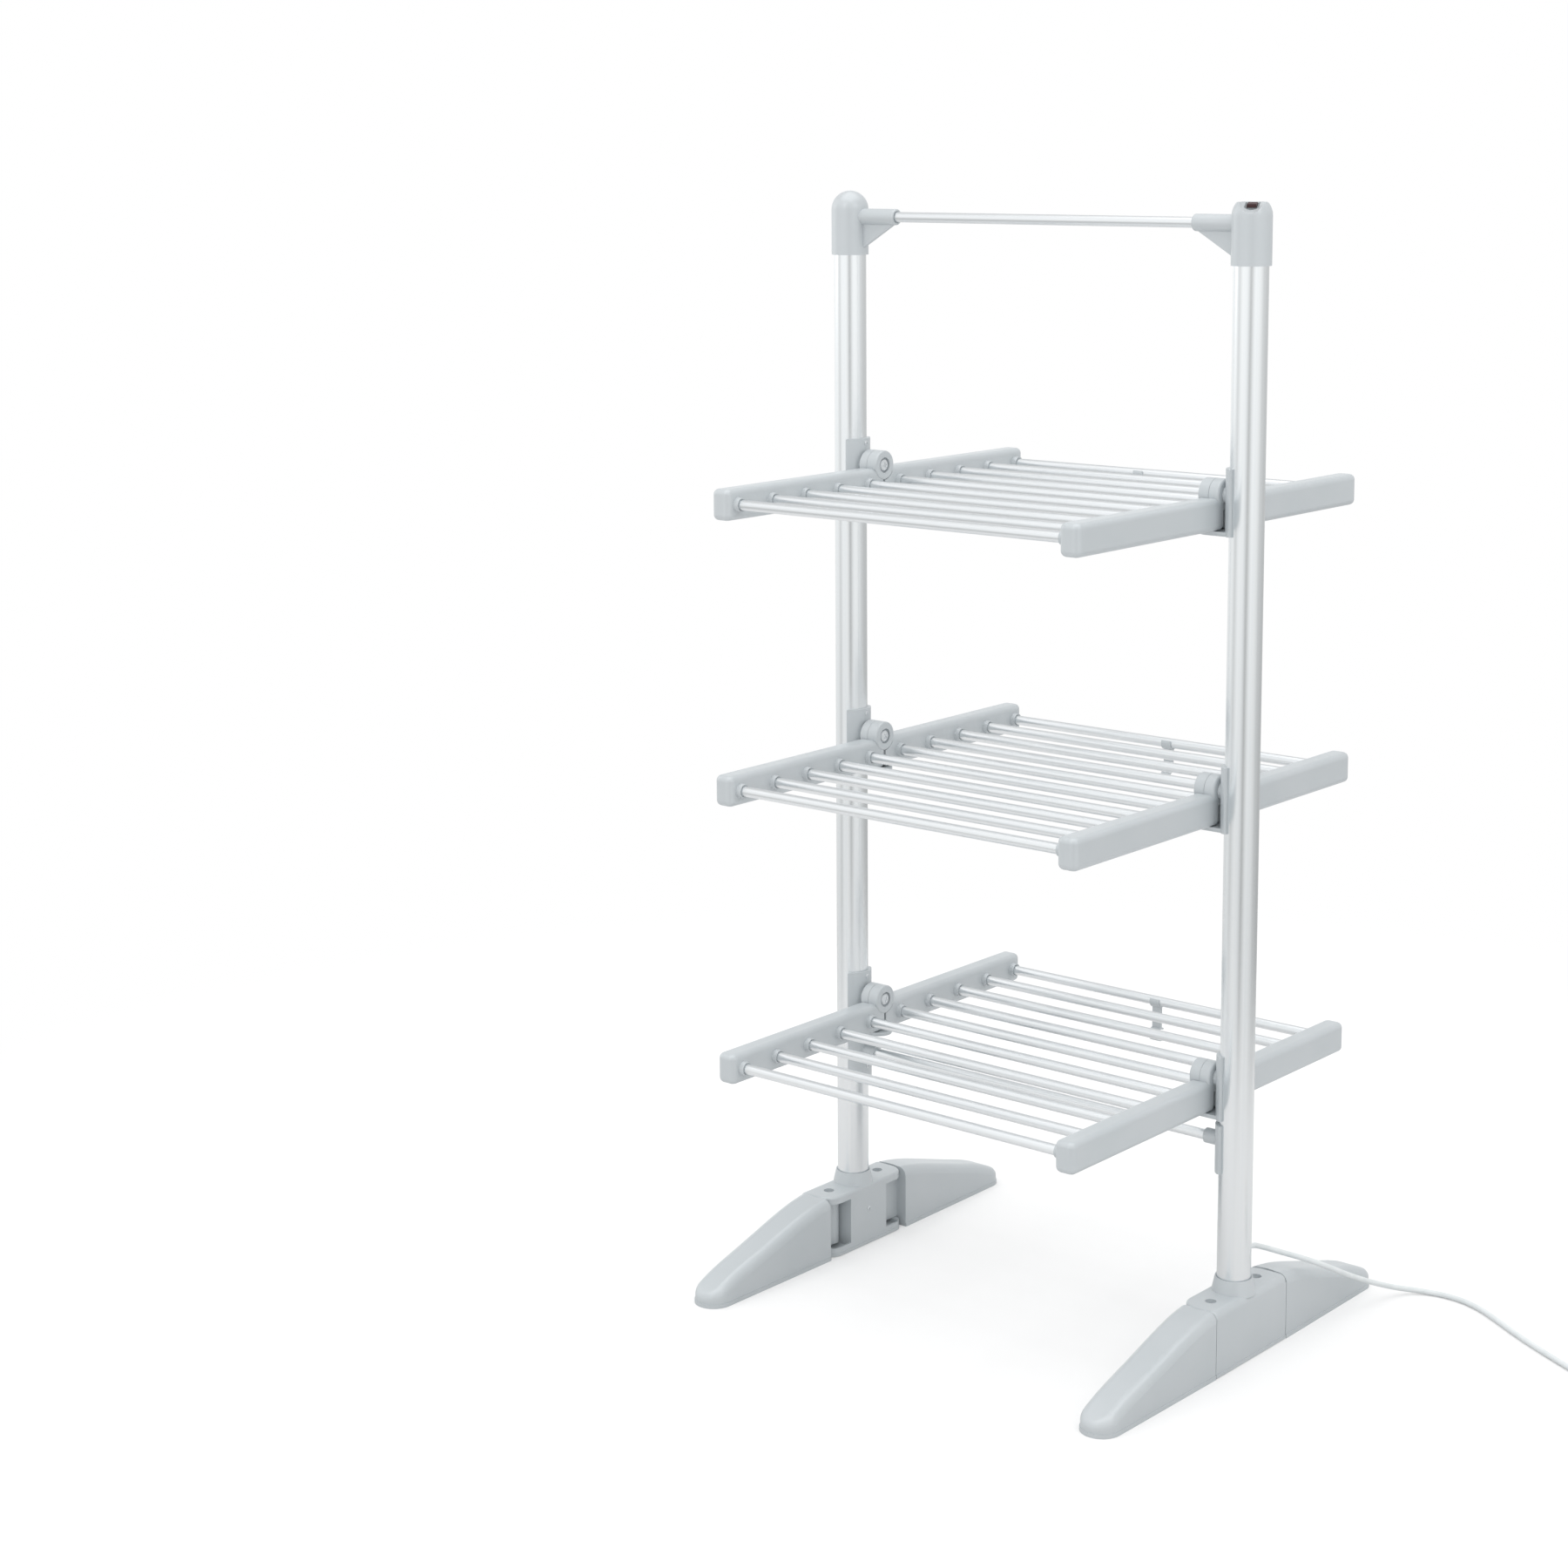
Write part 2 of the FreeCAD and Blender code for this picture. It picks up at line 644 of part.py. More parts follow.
def make_leg():
    shell = leg_plan(sole_lip, sole_height, hub_top + 1).common(leg_side())
    crown_edges = []
    for edge in shell.Edges:
        middle = edge.valueAt((edge.FirstParameter + edge.LastParameter) / 2)
        off_end = middle.y > leg_start + 1
        if off_end and middle.z > sole_height + 1 and abs(middle.x - upright_x) > 1:
            crown_edges.append(edge)
        elif off_end and middle.z > sole_height + 1 and middle.y > leg_tip - leg_nose_length:
            crown_edges.append(edge)
    shell = shell.makeFillet(leg_crown_round, crown_edges)
    body = joined(shell, leg_plan(0.0, 0.0, sole_height))
    pin_foot = V(upright_x, leg_pin_offset, 0)
    body = body.cut(rod(leg_hollow_radius, pin_foot - AXIS_Z, pin_foot + AXIS_Z * (hub_top + 1)))
    low = hub_base_top + leg_knuckle_gap
    high = hub_roof_bottom - leg_knuckle_gap
    knuckle = rod(leg_knuckle_radius, pin_foot + AXIS_Z * low, pin_foot + AXIS_Z * high)
    neck = box(upright_x - leg_neck_half_width, upright_x + leg_neck_half_width, leg_pin_offset,
               leg_pin_offset + leg_hollow_radius + 2, low, high)
    bore = rod(leg_pin_radius + running_clearance, pin_foot, pin_foot + AXIS_Z * hub_top)
    return joined(body, neck, knuckle).cut(bore)


def make_leg_pin():
    foot = V(upright_x, leg_pin_offset, hub_base_bottom + leg_pin_floor + face_gap)
    seat = V(upright_x, leg_pin_offset, hub_top - leg_pin_recess_depth)
    head = rod(leg_pin_head_radius, seat, seat + AXIS_Z * leg_pin_head_height)
    return joined(rod(leg_pin_radius, foot, seat), head)


# Supply lead: gland, inner wiring, free stretch, coil and plug

def arc_edge(start, heading, end):
    chord = end - start
    if heading.cross(chord).Length < 1e-6 * chord.Length:
        return Part.makeLine(start, end)
    across = chord - heading * chord.dot(heading)
    across.normalize()
    radius = chord.Length ** 2 / (2 * chord.dot(across))
    centre = start + across * radius
    bulge = (start + end) * 0.5 - centre
    if chord.dot(heading) < 0:
        bulge = bulge * -1
    return Part.Arc(start, centre + bulge.normalize() * radius, end).toShape()


def biarc_edges(start, heading, end, leaving):
    chord = end - start
    both = heading + leaving
    a = 2 * (1 - heading.dot(leaving))
    b = 2 * chord.dot(both)
    c = -chord.dot(chord)
    if abs(a) < 1e-9:
        reach = -c / b
    else:
        reach = (-b + math.sqrt(b * b - 4 * a * c)) / (2 * a)
    middle = (start + heading * reach + end - leaving * reach) * 0.5
    back = arc_edge(end, leaving * -1, middle)
    return [arc_edge(start, heading, middle), back]


def rounded_route(points):
    edges = []
    radii = []
    here = points[0]
    for k in range(1, len(points) - 1):
        before = points[k] - points[k - 1]
        after = points[k + 1] - points[k]
        trim = 0.45 * min(before.Length, after.Length)
        turn = before.getAngle(after)
        radius = trim / math.tan(turn / 2)
        radii.append(radius)
        enter = points[k] - before.normalize() * trim
        leave = points[k] + after.normalize() * trim
        edges.append(Part.makeLine(here, enter))
        edges.append(arc_edge(enter, before, leave))
        here = leave
    edges.append(Part.makeLine(here, points[-1]))
    return Part.Wire(edges), radii


def sweep(radius, wire, start, heading):
    ring = Part.Wire(Part.makeCircle(radius, start, heading))
    return Part.Wire(wire).makePipeShell([ring], True, False)


def make_gland():
    turn = math.radians(gland_angle)
    out = V(math.cos(turn), math.sin(turn), 0)
    centre = V(upright_x, 0, gland_height)
    face = upright_radius + slide_clearance
    stem_start = centre + out * (upright_radius - upright_wall - face_gap)
    stem = rod(gland_stem_radius, stem_start, centre + out * (face + 1))
    flange_end = centre + out * (face + gland_flange_length)
    flange = rod(gland_flange_radius, centre + out * (face - upright_wall), flange_end)
    tip = centre + out * (upright_radius + gland_length)
    neck = taper(gland_neck_radius, gland_tip_radius, flange_end, tip)
    reach = AXIS_Z * 2 * gland_flange_radius
    hollow = rod(face, centre - reach, centre + reach)
    return joined(joined(flange, neck).cut(hollow), stem), tip, out


def make_wiring():
    turn = math.radians(gland_angle)
    reach = upright_radius - upright_wall - wire_radius - face_gap
    low = V(upright_x + reach * math.cos(turn), reach * math.sin(turn), gland_height - 2 * wire_radius)
    tilt = math.radians(trough_tilt)
    top = trough_floor - switch_depth / math.cos(tilt) - wire_radius * math.tan(tilt) - face_gap
    rise = V(low.x, low.y, cap_bottom - wire_rise_below_cap)
    centred = V(upright_x, 0, cap_bottom - wire_centred_below_cap)
    points = [low, rise, centred, V(upright_x, 0, top)]
    wire, radii = rounded_route(points)
    return sweep(wire_radius, wire, low, AXIS_Z)


def coil_path(start, heading):
    side = V(-heading.y, heading.x, 0)
    centre = start + heading * coil_end_run + side * coil_radius
    swing = math.atan2(-side.y, -side.x)
    turns_climb = 0.5
    total = coil_turns_in + turns_climb + coil_turns_out

    def place(turn):
        inward = min(turn, coil_turns_in) - max(turn - coil_turns_in - turns_climb, 0.0)
        climb = min(max((turn - coil_turns_in) / turns_climb, 0.0), 1.0)
        radius = coil_radius - coil_pitch * inward
        angle = swing + 2 * math.pi * turn
        height = coil_layer * climb * climb * (3 - 2 * climb)
        return centre + V(radius * math.cos(angle), radius * math.sin(angle), height)

    def heading_at(turn):
        step = 1e-4
        return (place(min(turn + step, total)) - place(max(turn - step, 0.0))).normalize()

    quarter = 0.25
    count = int(round(total / quarter))
    points = [place(k * quarter) for k in range(count + 1)]
    headings = [heading_at(k * quarter) for k in range(count + 1)]
    headings[0] = heading
    edges = [Part.makeLine(start, points[0])]
    for k in range(count):
        edges += biarc_edges(points[k], headings[k], points[k + 1], headings[k + 1])
    end = points[-1] + headings[-1] * coil_exit_run
    edges.append(Part.makeLine(points[-1], end))
    wire = Part.Wire(Part.__sortEdges__(edges))
    return wire, end, headings[-1], centre


def least_self_gap(wire, radius):
    count = int(wire.Length / 3)
    points = wire.discretize(count)
    step = wire.Length / (count - 1)
    apart = int(math.pi * 3 * radius / step)
    least = 1e9
    for i in range(count):
        for j in range(i + apart, count):
            least = min(least, (points[i] - points[j]).Length)
    return least - 2 * radius


def make_tie(centre):
    low = coil_radius - coil_pitch * coil_turns_in
    inner = low - cord_radius - face_gap
    outer = coil_radius + cord_radius + face_gap
    floor = centre.z - cord_radius - face_gap
    roof = centre.z + coil_layer + cord_radius + face_gap
    half = tie_width / 2
    hole = box(inner, outer, -half - 1, half + 1, floor, roof)
    hole = hole.makeFillet(cord_radius, edges_along(hole, AXIS_Y, lambda c: True))
    t = tie_thickness
    band = box(inner - t, outer + t, -half, half, floor - t, roof + t)
    band = band.makeFillet(cord_radius + t, edges_along(band, AXIS_Y, lambda c: True))
    tie = band.cut(hole)
    tie.rotate(ORIGIN, AXIS_Z, tie_angle)
    tie.translate(V(centre.x, centre.y, 0))
    return tie


def make_plug(entry, heading):
    start = plug_relief_length
    half = plug_width / 2
    low = -entry.z
    body = box(start, start + plug_length, -half, half, low, low + plug_height)
    body = body.makeFillet(2 * plug_edge_round, edges_along(body, AXIS_Z, lambda c: True))
    upper = [e for e in body.Edges if e.BoundBox.ZMin > low + plug_height - 0.1]
    body = body.makeFillet(plug_edge_round / 2, upper)
    relief = taper(plug_relief_tip, plug_relief_radius, V(0, 0, 0), V(start + 2, 0, 0))
    plug = joined(body, relief)
    face = low + plug_height
    pins = []
    slots = []
    earth = (earth_pin_place, 0.0, earth_pin_along / 2, earth_pin_across / 2, earth_pin_height)
    lines = []
    for y in (-line_pin_spacing / 2, line_pin_spacing / 2):
        lines.append((line_pin_place, y, line_pin_along / 2, line_pin_across / 2, line_pin_height))
    for place, y, along, across, height in [earth] + lines:
        x = start + place
        seat = face - plug_pin_seat
        pins.append(box(x - along, x + along, y - across, y + across, seat, face + height))
        along += slide_clearance
        across += slide_clearance
        slots.append(box(x - along, x + along, y - across, y + across, seat - slide_clearance, face + 1))
    plug = plug.cut(slots)
    blades = Part.makeCompound(pins)
    angle = math.degrees(math.atan2(heading.y, heading.x))
    for shape in (plug, blades):
        shape.rotate(ORIGIN, AXIS_Z, angle)
        shape.translate(entry)
    return plug, blades


os.makedirs("parts", exist_ok=True)

# Frame
gland, cord_exit, cord_out = make_gland()
right_upright = make_upright()
left_upright = mirrored(right_upright, AXIS_X)
gland_centre = V(upright_x, 0, gland_height)
stem_hole_end = gland_centre + cord_out * (upright_radius + gland_length)
stem_hole = rod(gland_stem_radius + slide_clearance, gland_centre, stem_hole_end)
save("right_upright", right_upright.cut(stem_hole))
save("left_upright", left_upright)
cap = make_cap()
save("left_top_cap", mirrored(cap, AXIS_X))
save("right_top_cap", make_switch_cap(cap))
save("switch_body", make_switch_body())
save("switch_rocker", make_rocker())
save("top_rail", make_rail(rail_socket_reach - rail_socket_depth + face_gap, rail_z))
save("lower_rail", make_rail(lower_boss_reach - lower_boss_depth + face_gap, lower_rail_z))
lower_bracket = make_lower_bracket()
save("right_lower_rail_bracket", lower_bracket)
save("left_lower_rail_bracket", mirrored(lower_bracket, AXIS_X))

# Tiers
bracket = make_hinge_bracket()
right_rear_arm = make_arm(True)
right_front_arm = mirrored(make_arm(False), AXIS_Y)
pin = make_hinge_pin()
pins = []
for name in tier_names:
    axis = tier_axes[name]
    save(name + "_right_hinge_bracket", raised(bracket, axis))
    save(name + "_left_hinge_bracket", raised(half_turned(bracket), axis))
    save(name + "_rear_right_arm", raised(right_rear_arm, axis))
    save(name + "_front_left_arm", raised(half_turned(right_rear_arm), axis))
    save(name + "_front_right_arm", raised(right_front_arm, axis))
    save(name + "_rear_left_arm", raised(half_turned(right_front_arm), axis))
    for wing, direction in (("front", -1), ("rear", 1)):
        save(name + "_" + wing + "_bars", raised(make_bars(direction), axis))
        save(name + "_" + wing + "_heating_cores", raised(make_cores(direction), axis))
    save(name + "_clip", raised(make_clip(clip_places[name]), axis))
    pins += [raised(pin, axis), raised(half_turned(pin), axis)]
save("hinge_pins", *pins)

# Feet
hub = make_hub()
save("right_foot_hub", hub)
save("left_foot_hub", mirrored(hub, AXIS_X))
leg = make_leg()
save("right_rear_leg", leg)
save("right_front_leg", mirrored(leg, AXIS_Y))
save("left_rear_leg", mirrored(leg, AXIS_X))
save("left_front_leg", half_turned(leg))
leg_pin = make_leg_pin()
save("leg_pins", leg_pin, mirrored(leg_pin, AXIS_Y), mirrored(leg_pin, AXIS_X), half_turned(leg_pin))

# Supply lead
save("cord_gland", gland)
save("supply_wiring", make_wiring())
route = [cord_exit, cord_exit + cord_out * cord_lead] + [V(*p) for p in cord_route] + [V(*coil_start)]
cord_wire, cord_radii = rounded_route(route)
cord = sweep(cord_radius, cord_wire, cord_exit, cord_out)
save("power_cord", cord)
arrival = (route[-1] - route[-2]).normalize()
coil_wire, coil_exit, coil_out, coil_centre = coil_path(route[-1], arrival)
coil = sweep(cord_radius, coil_wire, route[-1], arrival)
save("cord_coil", coil)
save("cord_tie", make_tie(coil_centre))
plug, plug_pins = make_plug(coil_exit, coil_out)
save("mains_plug", plug)
save("plug_pins", plug_pins)

section = math.pi * cord_radius ** 2
print("cord radii", [round(r) for r in cord_radii])
for label, tube_solid, wire in (("cord", cord, cord_wire), ("coil", coil, coil_wire)):
    share = tube_solid.Volume / (section * wire.Length)
    print(label, "length", round(wire.Length), "volume share", round(share, 4), "valid", tube_solid.isValid())
print("coil gap to itself", round(least_self_gap(coil_wire, cord_radius), 2))
print("overall", round(2 * (upright_x + foot_half_width)), "by", round(2 * leg_tip), "by", round(cap_top))
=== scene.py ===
import json
import logging
import math
from dataclasses import dataclass, field
from enum import Enum
from typing import Sequence

import bpy
from mathutils import Matrix, Vector


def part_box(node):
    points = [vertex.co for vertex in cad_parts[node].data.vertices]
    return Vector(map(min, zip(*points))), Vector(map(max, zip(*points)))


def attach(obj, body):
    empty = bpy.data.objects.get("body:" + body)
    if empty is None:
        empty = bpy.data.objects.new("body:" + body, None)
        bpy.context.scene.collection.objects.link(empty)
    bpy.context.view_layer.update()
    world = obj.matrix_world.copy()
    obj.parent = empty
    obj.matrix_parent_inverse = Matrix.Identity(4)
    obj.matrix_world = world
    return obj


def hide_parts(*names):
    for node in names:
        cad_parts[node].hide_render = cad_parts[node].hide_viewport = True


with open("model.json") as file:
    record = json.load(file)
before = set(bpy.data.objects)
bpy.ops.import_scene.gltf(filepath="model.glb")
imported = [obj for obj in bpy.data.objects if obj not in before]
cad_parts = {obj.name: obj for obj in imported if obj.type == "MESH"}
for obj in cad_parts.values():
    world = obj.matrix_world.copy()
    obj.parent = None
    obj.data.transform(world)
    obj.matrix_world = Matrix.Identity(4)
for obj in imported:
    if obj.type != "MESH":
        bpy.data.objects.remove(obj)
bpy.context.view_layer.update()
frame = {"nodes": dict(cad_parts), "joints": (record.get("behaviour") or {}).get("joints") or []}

log = logging.getLogger("airer")

MM = 0.001

# Faces that the screws sit on, and their heights on each bracket and hub, in millimetres.
SADDLE_RADIUS = 25.55
HUB_FACE_X = 275.0
PIN_HEAD_X = 245.7
HINGE_SCREW_RISE = 27.0
RAIL_SCREW_RISES = (16.0, -21.0)
HUB_SCREW_Z = 50.0

# The lead's way from the gland to its coil, in millimetres.
CORD_EXIT = (290.87, 41.535, 117.0)
CORD_ROUTE = (
    (284.4, 65.683, 117.0), (286.0, 93.0, 106.0), (306.0, 112.0, 97.0), (336.0, 120.5, 93.0),
    (353.5, 146.0, 79.0), (356.0, 185.0, 58.0), (359.0, 240.0, 32.0), (366.0, 290.0, 11.0),
    (388.0, 318.0, 3.6), (430.0, 326.0, 3.6), (470.0, 316.0, 3.6), (509.0, 293.0, 3.6),
    (560.0, 260.0, 3.6), (640.0, 217.0, 3.6), (712.0, 184.0, 4.8),
)

# How every finish draws its patterns: noise layers, spans of the noise, and a drawn tube's stretch of grain.
GRAIN_DETAIL = 3.0
GRAIN_SPAN = (0.25, 0.75)
GRAIN_STRETCH = 1500.0
MOTTLE_DETAIL = 2.0
MOTTLE_SPAN = (0.3, 0.7)
BUMP_STRENGTH = 0.5
COAT_ROUGHNESS = 0.12

WHITE = (1.0, 1.0, 1.0, 1.0)


class Slot(Enum):
    """The record's material slots."""

    MOULDING = "grey_moulding"
    ALUMINIUM = "satin_aluminium"
    ZINC = "zinc_steel"
    BLACK = "black_plastic"
    RED = "red_plastic"
    PVC = "white_pvc"
    BRASS = "brass_pins"
    SILICONE = "heating_silicone"


class Run(Enum):
    """Which way a surface's grain runs."""

    EVEN = None
    ALONG_X = 0
    ALONG_Z = 2


class Tier(Enum):
    """The three tiers of bars."""

    LOWER = "lower"
    MIDDLE = "middle"
    UPPER = "upper"

    def axis_z(self) -> float:
        """Height of the tier's hinge axis.

        Returns:
            The height in millimetres.
        """
        fold = f"{self.value}_front_wing_fold"
        return next(j["pos_m"][2] for j in frame["joints"] if j["name"] == fold) / MM


def middle_of(node: str) -> Vector:
    """Middle of a CAD node's box at rest.

    Args:
        node: The node's name.

    Returns:
        The point in millimetres.
    """
    low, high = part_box(node)
    return (low + high) / 2 / MM


def srgb(code: str) -> tuple[float, float, float, float]:
    """Linear colour of an sRGB hex code.

    Args:
        code: Six hex digits, such as "BFC5C8".

    Returns:
        Red, green, blue and an alpha of one.
    """
    parts = [int(code[k:k + 2], 16) / 255 for k in (0, 2, 4)]
    linear = [c / 12.92 if c <= 0.04045 else ((c + 0.055) / 1.055) ** 2.4 for c in parts]
    return (linear[0], linear[1], linear[2], 1.0)


def add_node(tree: bpy.types.NodeTree, kind: str,
             links: dict[str | int, bpy.types.NodeSocket] | None = None,
             **values: object) -> bpy.types.Node:
    """Adds one node to a tree.

    Args:
        tree: The node tree.
        kind: The node's class name.
        links: Input names or numbers, and the sockets that feed them.
        **values: Node properties, and input values with blanks written as underscores.

    Returns:
        The new node.
    """
    node = tree.nodes.new(kind)
    for name, value in values.items():
        title = name.replace("_", " ").title()
        if title in node.inputs:
            node.inputs[title].default_value = value
        else:
            setattr(node, name, value)
    for name, socket in (links or {}).items():
        tree.links.new(socket, node.inputs[name])
    return node


def maths(tree: bpy.types.NodeTree, operation: str, first: bpy.types.NodeSocket | float,
          second: bpy.types.NodeSocket | float) -> bpy.types.NodeSocket:
    """Adds a maths node.

    Args:
        tree: The node tree.
        operation: What it does with the two.
        first: A socket or a number.
        second: A socket or a number.

    Returns:
        The socket with the result.
    """
    node = add_node(tree, "ShaderNodeMath", operation=operation)
    for socket, operand in zip(node.inputs, (first, second)):
        if isinstance(operand, float):
            socket.default_value = operand
        else:
            tree.links.new(operand, socket)
    return node.outputs["Value"]


@dataclass(frozen=True)
class Finish:
    """How a surface looks.

    Attributes:
        slot: The record's material slot. Not used.
        colour: Base colour as an sRGB hex code.
        tint: The other tone of the mottle, as an sRGB hex code.
        roughness: Mean roughness.
        metallic: One for bare metal.
        coat: Weight of a clear coat.
        grain_mm: Size of the fine grain in millimetres.
        bump_mm: Depth of the fine grain in millimetres.
        band: How far the grain moves the roughness up and down.
        mottle_mm: Size of the patches of tone in millimetres.
        run: Which way the grain runs.
    """

    slot: Slot
    colour: str
    tint: str
    roughness: float
    metallic: float = 0.0
    coat: float = 0.0
    grain_mm: float = 1.0
    bump_mm: float = 0.0
    band: float = 0.04
    mottle_mm: float = 60.0
    run: Run = Run.EVEN

    def build(self, name: str) -> bpy.types.Material:
        """Makes the Blender material.

        Args:
            name: The material's name.

        Returns:
            The material.
        """
        material = bpy.data.materials.new(name)
        material.use_nodes = True
        tree = material.node_tree
        tree.nodes.clear()
        shader = add_node(tree, "ShaderNodeBsdfPrincipled", metallic=self.metallic, coat_weight=self.coat,
                          coat_roughness=COAT_ROUGHNESS)
        add_node(tree, "ShaderNodeOutputMaterial", {"Surface": shader.outputs["BSDF"]})
        fine = self._noise(tree, self.grain_mm, GRAIN_DETAIL)
        broad = self._noise(tree, self.mottle_mm, MOTTLE_DETAIL)
        tone = add_node(tree, "ShaderNodeValToRGB", {"Fac": broad})
        for stop, position, code in zip(tone.color_ramp.elements, MOTTLE_SPAN, (self.tint, self.colour)):
            stop.position = position
            stop.color = srgb(code)
        tree.links.new(tone.outputs["Color"], shader.inputs["Base Color"])
        rough = add_node(tree, "ShaderNodeMapRange", {"Value": fine},
                         from_min=GRAIN_SPAN[0], from_max=GRAIN_SPAN[1],
                         to_min=self.roughness - self.band, to_max=self.roughness + self.band)
        tree.links.new(rough.outputs["Result"], shader.inputs["Roughness"])
        bump = add_node(tree, "ShaderNodeBump", {"Height": fine}, strength=BUMP_STRENGTH,
                        distance=self.bump_mm * MM)
        tree.links.new(bump.outputs["Normal"], shader.inputs["Normal"])
        return material

    def _noise(self, tree: bpy.types.NodeTree, size_mm: float, detail: float) -> bpy.types.NodeSocket:
        """Adds a noise of a real size, drawn out along the grain.

        Args:
            tree: The material's nodes.
            size_mm: Size of its patches in millimetres.
            detail: How many finer layers it has.

        Returns:
            The socket with the noise, from zero to one.
        """
        place = add_node(tree, "ShaderNodeTexCoord").outputs["Object"]
        rate = 1 / (size_mm * MM)
        scale = [rate, rate, rate]
        if self.run is not Run.EVEN:
            scale[self.run.value] = rate / GRAIN_STRETCH
        spread = add_node(tree, "ShaderNodeMapping", {"Vector": place}, scale=scale)
        noise = add_node(tree, "ShaderNodeTexNoise", {"Vector": spread.outputs["Vector"]}, scale=1.0,
                         detail=detail)
        return noise.outputs["Fac"]


def make_finishes() -> dict[str, Finish]:
    """Lists the finishes under their materials' names.

    Returns:
        The finishes.
    """
    # The grain of every material here is near 0.1 mm or finer, and is drawn as coarse as it needs to show.
    # Tube drawn through a die, then anodised: long faint lines, and soft straight streaks of light.
    tube = dict(slot=Slot.ALUMINIUM, colour="F3F5F6", tint="EEF1F3", metallic=1.0, grain_mm=0.8,
                bump_mm=0.0006, band=0.03, mottle_mm=3.0)
    return {
        # ABS with silver flake in it, from a spark-eroded mould: a satin, faintly metallic sheen, a fine
        # even grain, and a trace of flow in its tone.
        "grey_abs_moulding": Finish(Slot.MOULDING, "C9CED1", "C5CBCE", 0.33, 0.15, grain_mm=0.7,
                                    bump_mm=0.006, band=0.05, mottle_mm=90.0),
        "anodised_aluminium_upright": Finish(roughness=0.23, run=Run.ALONG_Z, **tube),
        "anodised_aluminium_bar": Finish(roughness=0.29, run=Run.ALONG_X, **tube),
        # Electroplated steel: bright, a little blue, with a fine uneven lustre.
        "zinc_plated_steel": Finish(Slot.ZINC, "E6E9EB", "DADEE1", 0.35, 0.6, grain_mm=0.5, bump_mm=0.002,
                                    band=0.08, mottle_mm=2.0),
        # Moulded nylon: deep black-brown with a dull, very fine grain.
        "black_nylon": Finish(Slot.BLACK, "262322", "1F1C1B", 0.42, grain_mm=0.4, bump_mm=0.01, band=0.06,
                              mottle_mm=8.0),
        # The switch's surround, in the same nylon: a dull mid grey, darker than the moulding round it.
        "grey_nylon": Finish(Slot.BLACK, "82888A", "7A8082", 0.42, grain_mm=0.4, bump_mm=0.01, band=0.06,
                             mottle_mm=8.0),
        # Tinted polycarbonate over a dark well: a glossy skin on a very dark red.
        "red_polycarbonate": Finish(Slot.RED, "3E1518", "32100F", 0.2, coat=0.4, grain_mm=0.6, bump_mm=0.002,
                                    band=0.03, mottle_mm=5.0),
        # Extruded PVC sheath: soft white with a slightly uneven, waxy sheen.
        "white_pvc_sheath": Finish(Slot.PVC, "E6EAEB", "DFE4E5", 0.4, grain_mm=0.6, bump_mm=0.008, band=0.05,
                                   mottle_mm=14.0),
        # Turned brass: warm, with fine uneven polish.
        "turned_brass": Finish(Slot.BRASS, "CBAB6B", "BF9E60", 0.24, 1.0, grain_mm=0.3, bump_mm=0.002,
                               band=0.06, mottle_mm=3.0),
        # Silicone rubber on the heating wire: chalky and matt.
        "heater_silicone": Finish(Slot.SILICONE, "DFDCD3", "D6D3C9", 0.62, grain_mm=0.5, bump_mm=0.01,
                                  band=0.06, mottle_mm=6.0),
    }


@dataclass
class Palette:
    """All the finishes, made into materials once.

    Attributes:
        finishes: Finish of each material's name.
        made: Materials made so far.
    """

    finishes: dict[str, Finish] = field(default_factory=make_finishes)
    made: dict[str, bpy.types.Material] = field(default_factory=dict)

    def material(self, name: str) -> bpy.types.Material:
        """The material of that name, made when first asked for.

        Args:
            name: A key of finishes.

        Returns:
            The material.
        """
        if name not in self.made:
            self.made[name] = self.finishes[name].build(name)
        return self.made[name]

    def apply(self, piece: bpy.types.Object, name: str) -> None:
        """Gives a made piece its only material.

        Args:
            piece: A mesh or curve object.
            name: A key of finishes.
        """
        piece.data.materials.clear()
        piece.data.materials.append(self.material(name))


@dataclass
class CadDressing:
    """Gives the CAD nodes procedural materials.

    Attributes:
        palette: The finishes.
        special: Finishes of the nodes that their names don't tell.
    """

    palette: Palette
    special: dict[str, str] = field(default_factory=lambda: {
        "switch_body": "grey_nylon", "switch_rocker": "red_polycarbonate", "plug_pins": "turned_brass",
        "hinge_pins": "zinc_plated_steel", "leg_pins": "zinc_plated_steel", "cord_tie": "black_nylon",
        "mains_plug": "white_pvc_sheath", "power_cord": "white_pvc_sheath", "cord_coil": "white_pvc_sheath",
        "cord_gland": "white_pvc_sheath", "supply_wiring": "white_pvc_sheath",
    })

    def finish_name(self, node: str) -> str:
        """Which finish a node takes.

        Args:
            node: The CAD node's name.

        Returns:
            A key of the palette's finishes.
        """
        if node in self.special:
            return self.special[node]
        if node.endswith("upright"):
            return "anodised_aluminium_upright"
        if node.endswith("bars") or node.endswith("rail"):
            return "anodised_aluminium_bar"
        return "heater_silicone" if node.endswith("cores") else "grey_abs_moulding"

    def build(self) -> None:
        """Replaces the imported materials."""
        for name, node in frame["nodes"].items():
            finish = self.finish_name(name)
            node.data.materials.clear()
            node.data.materials.append(self.palette.material(finish))
            log.info("%s: %s", name, finish)


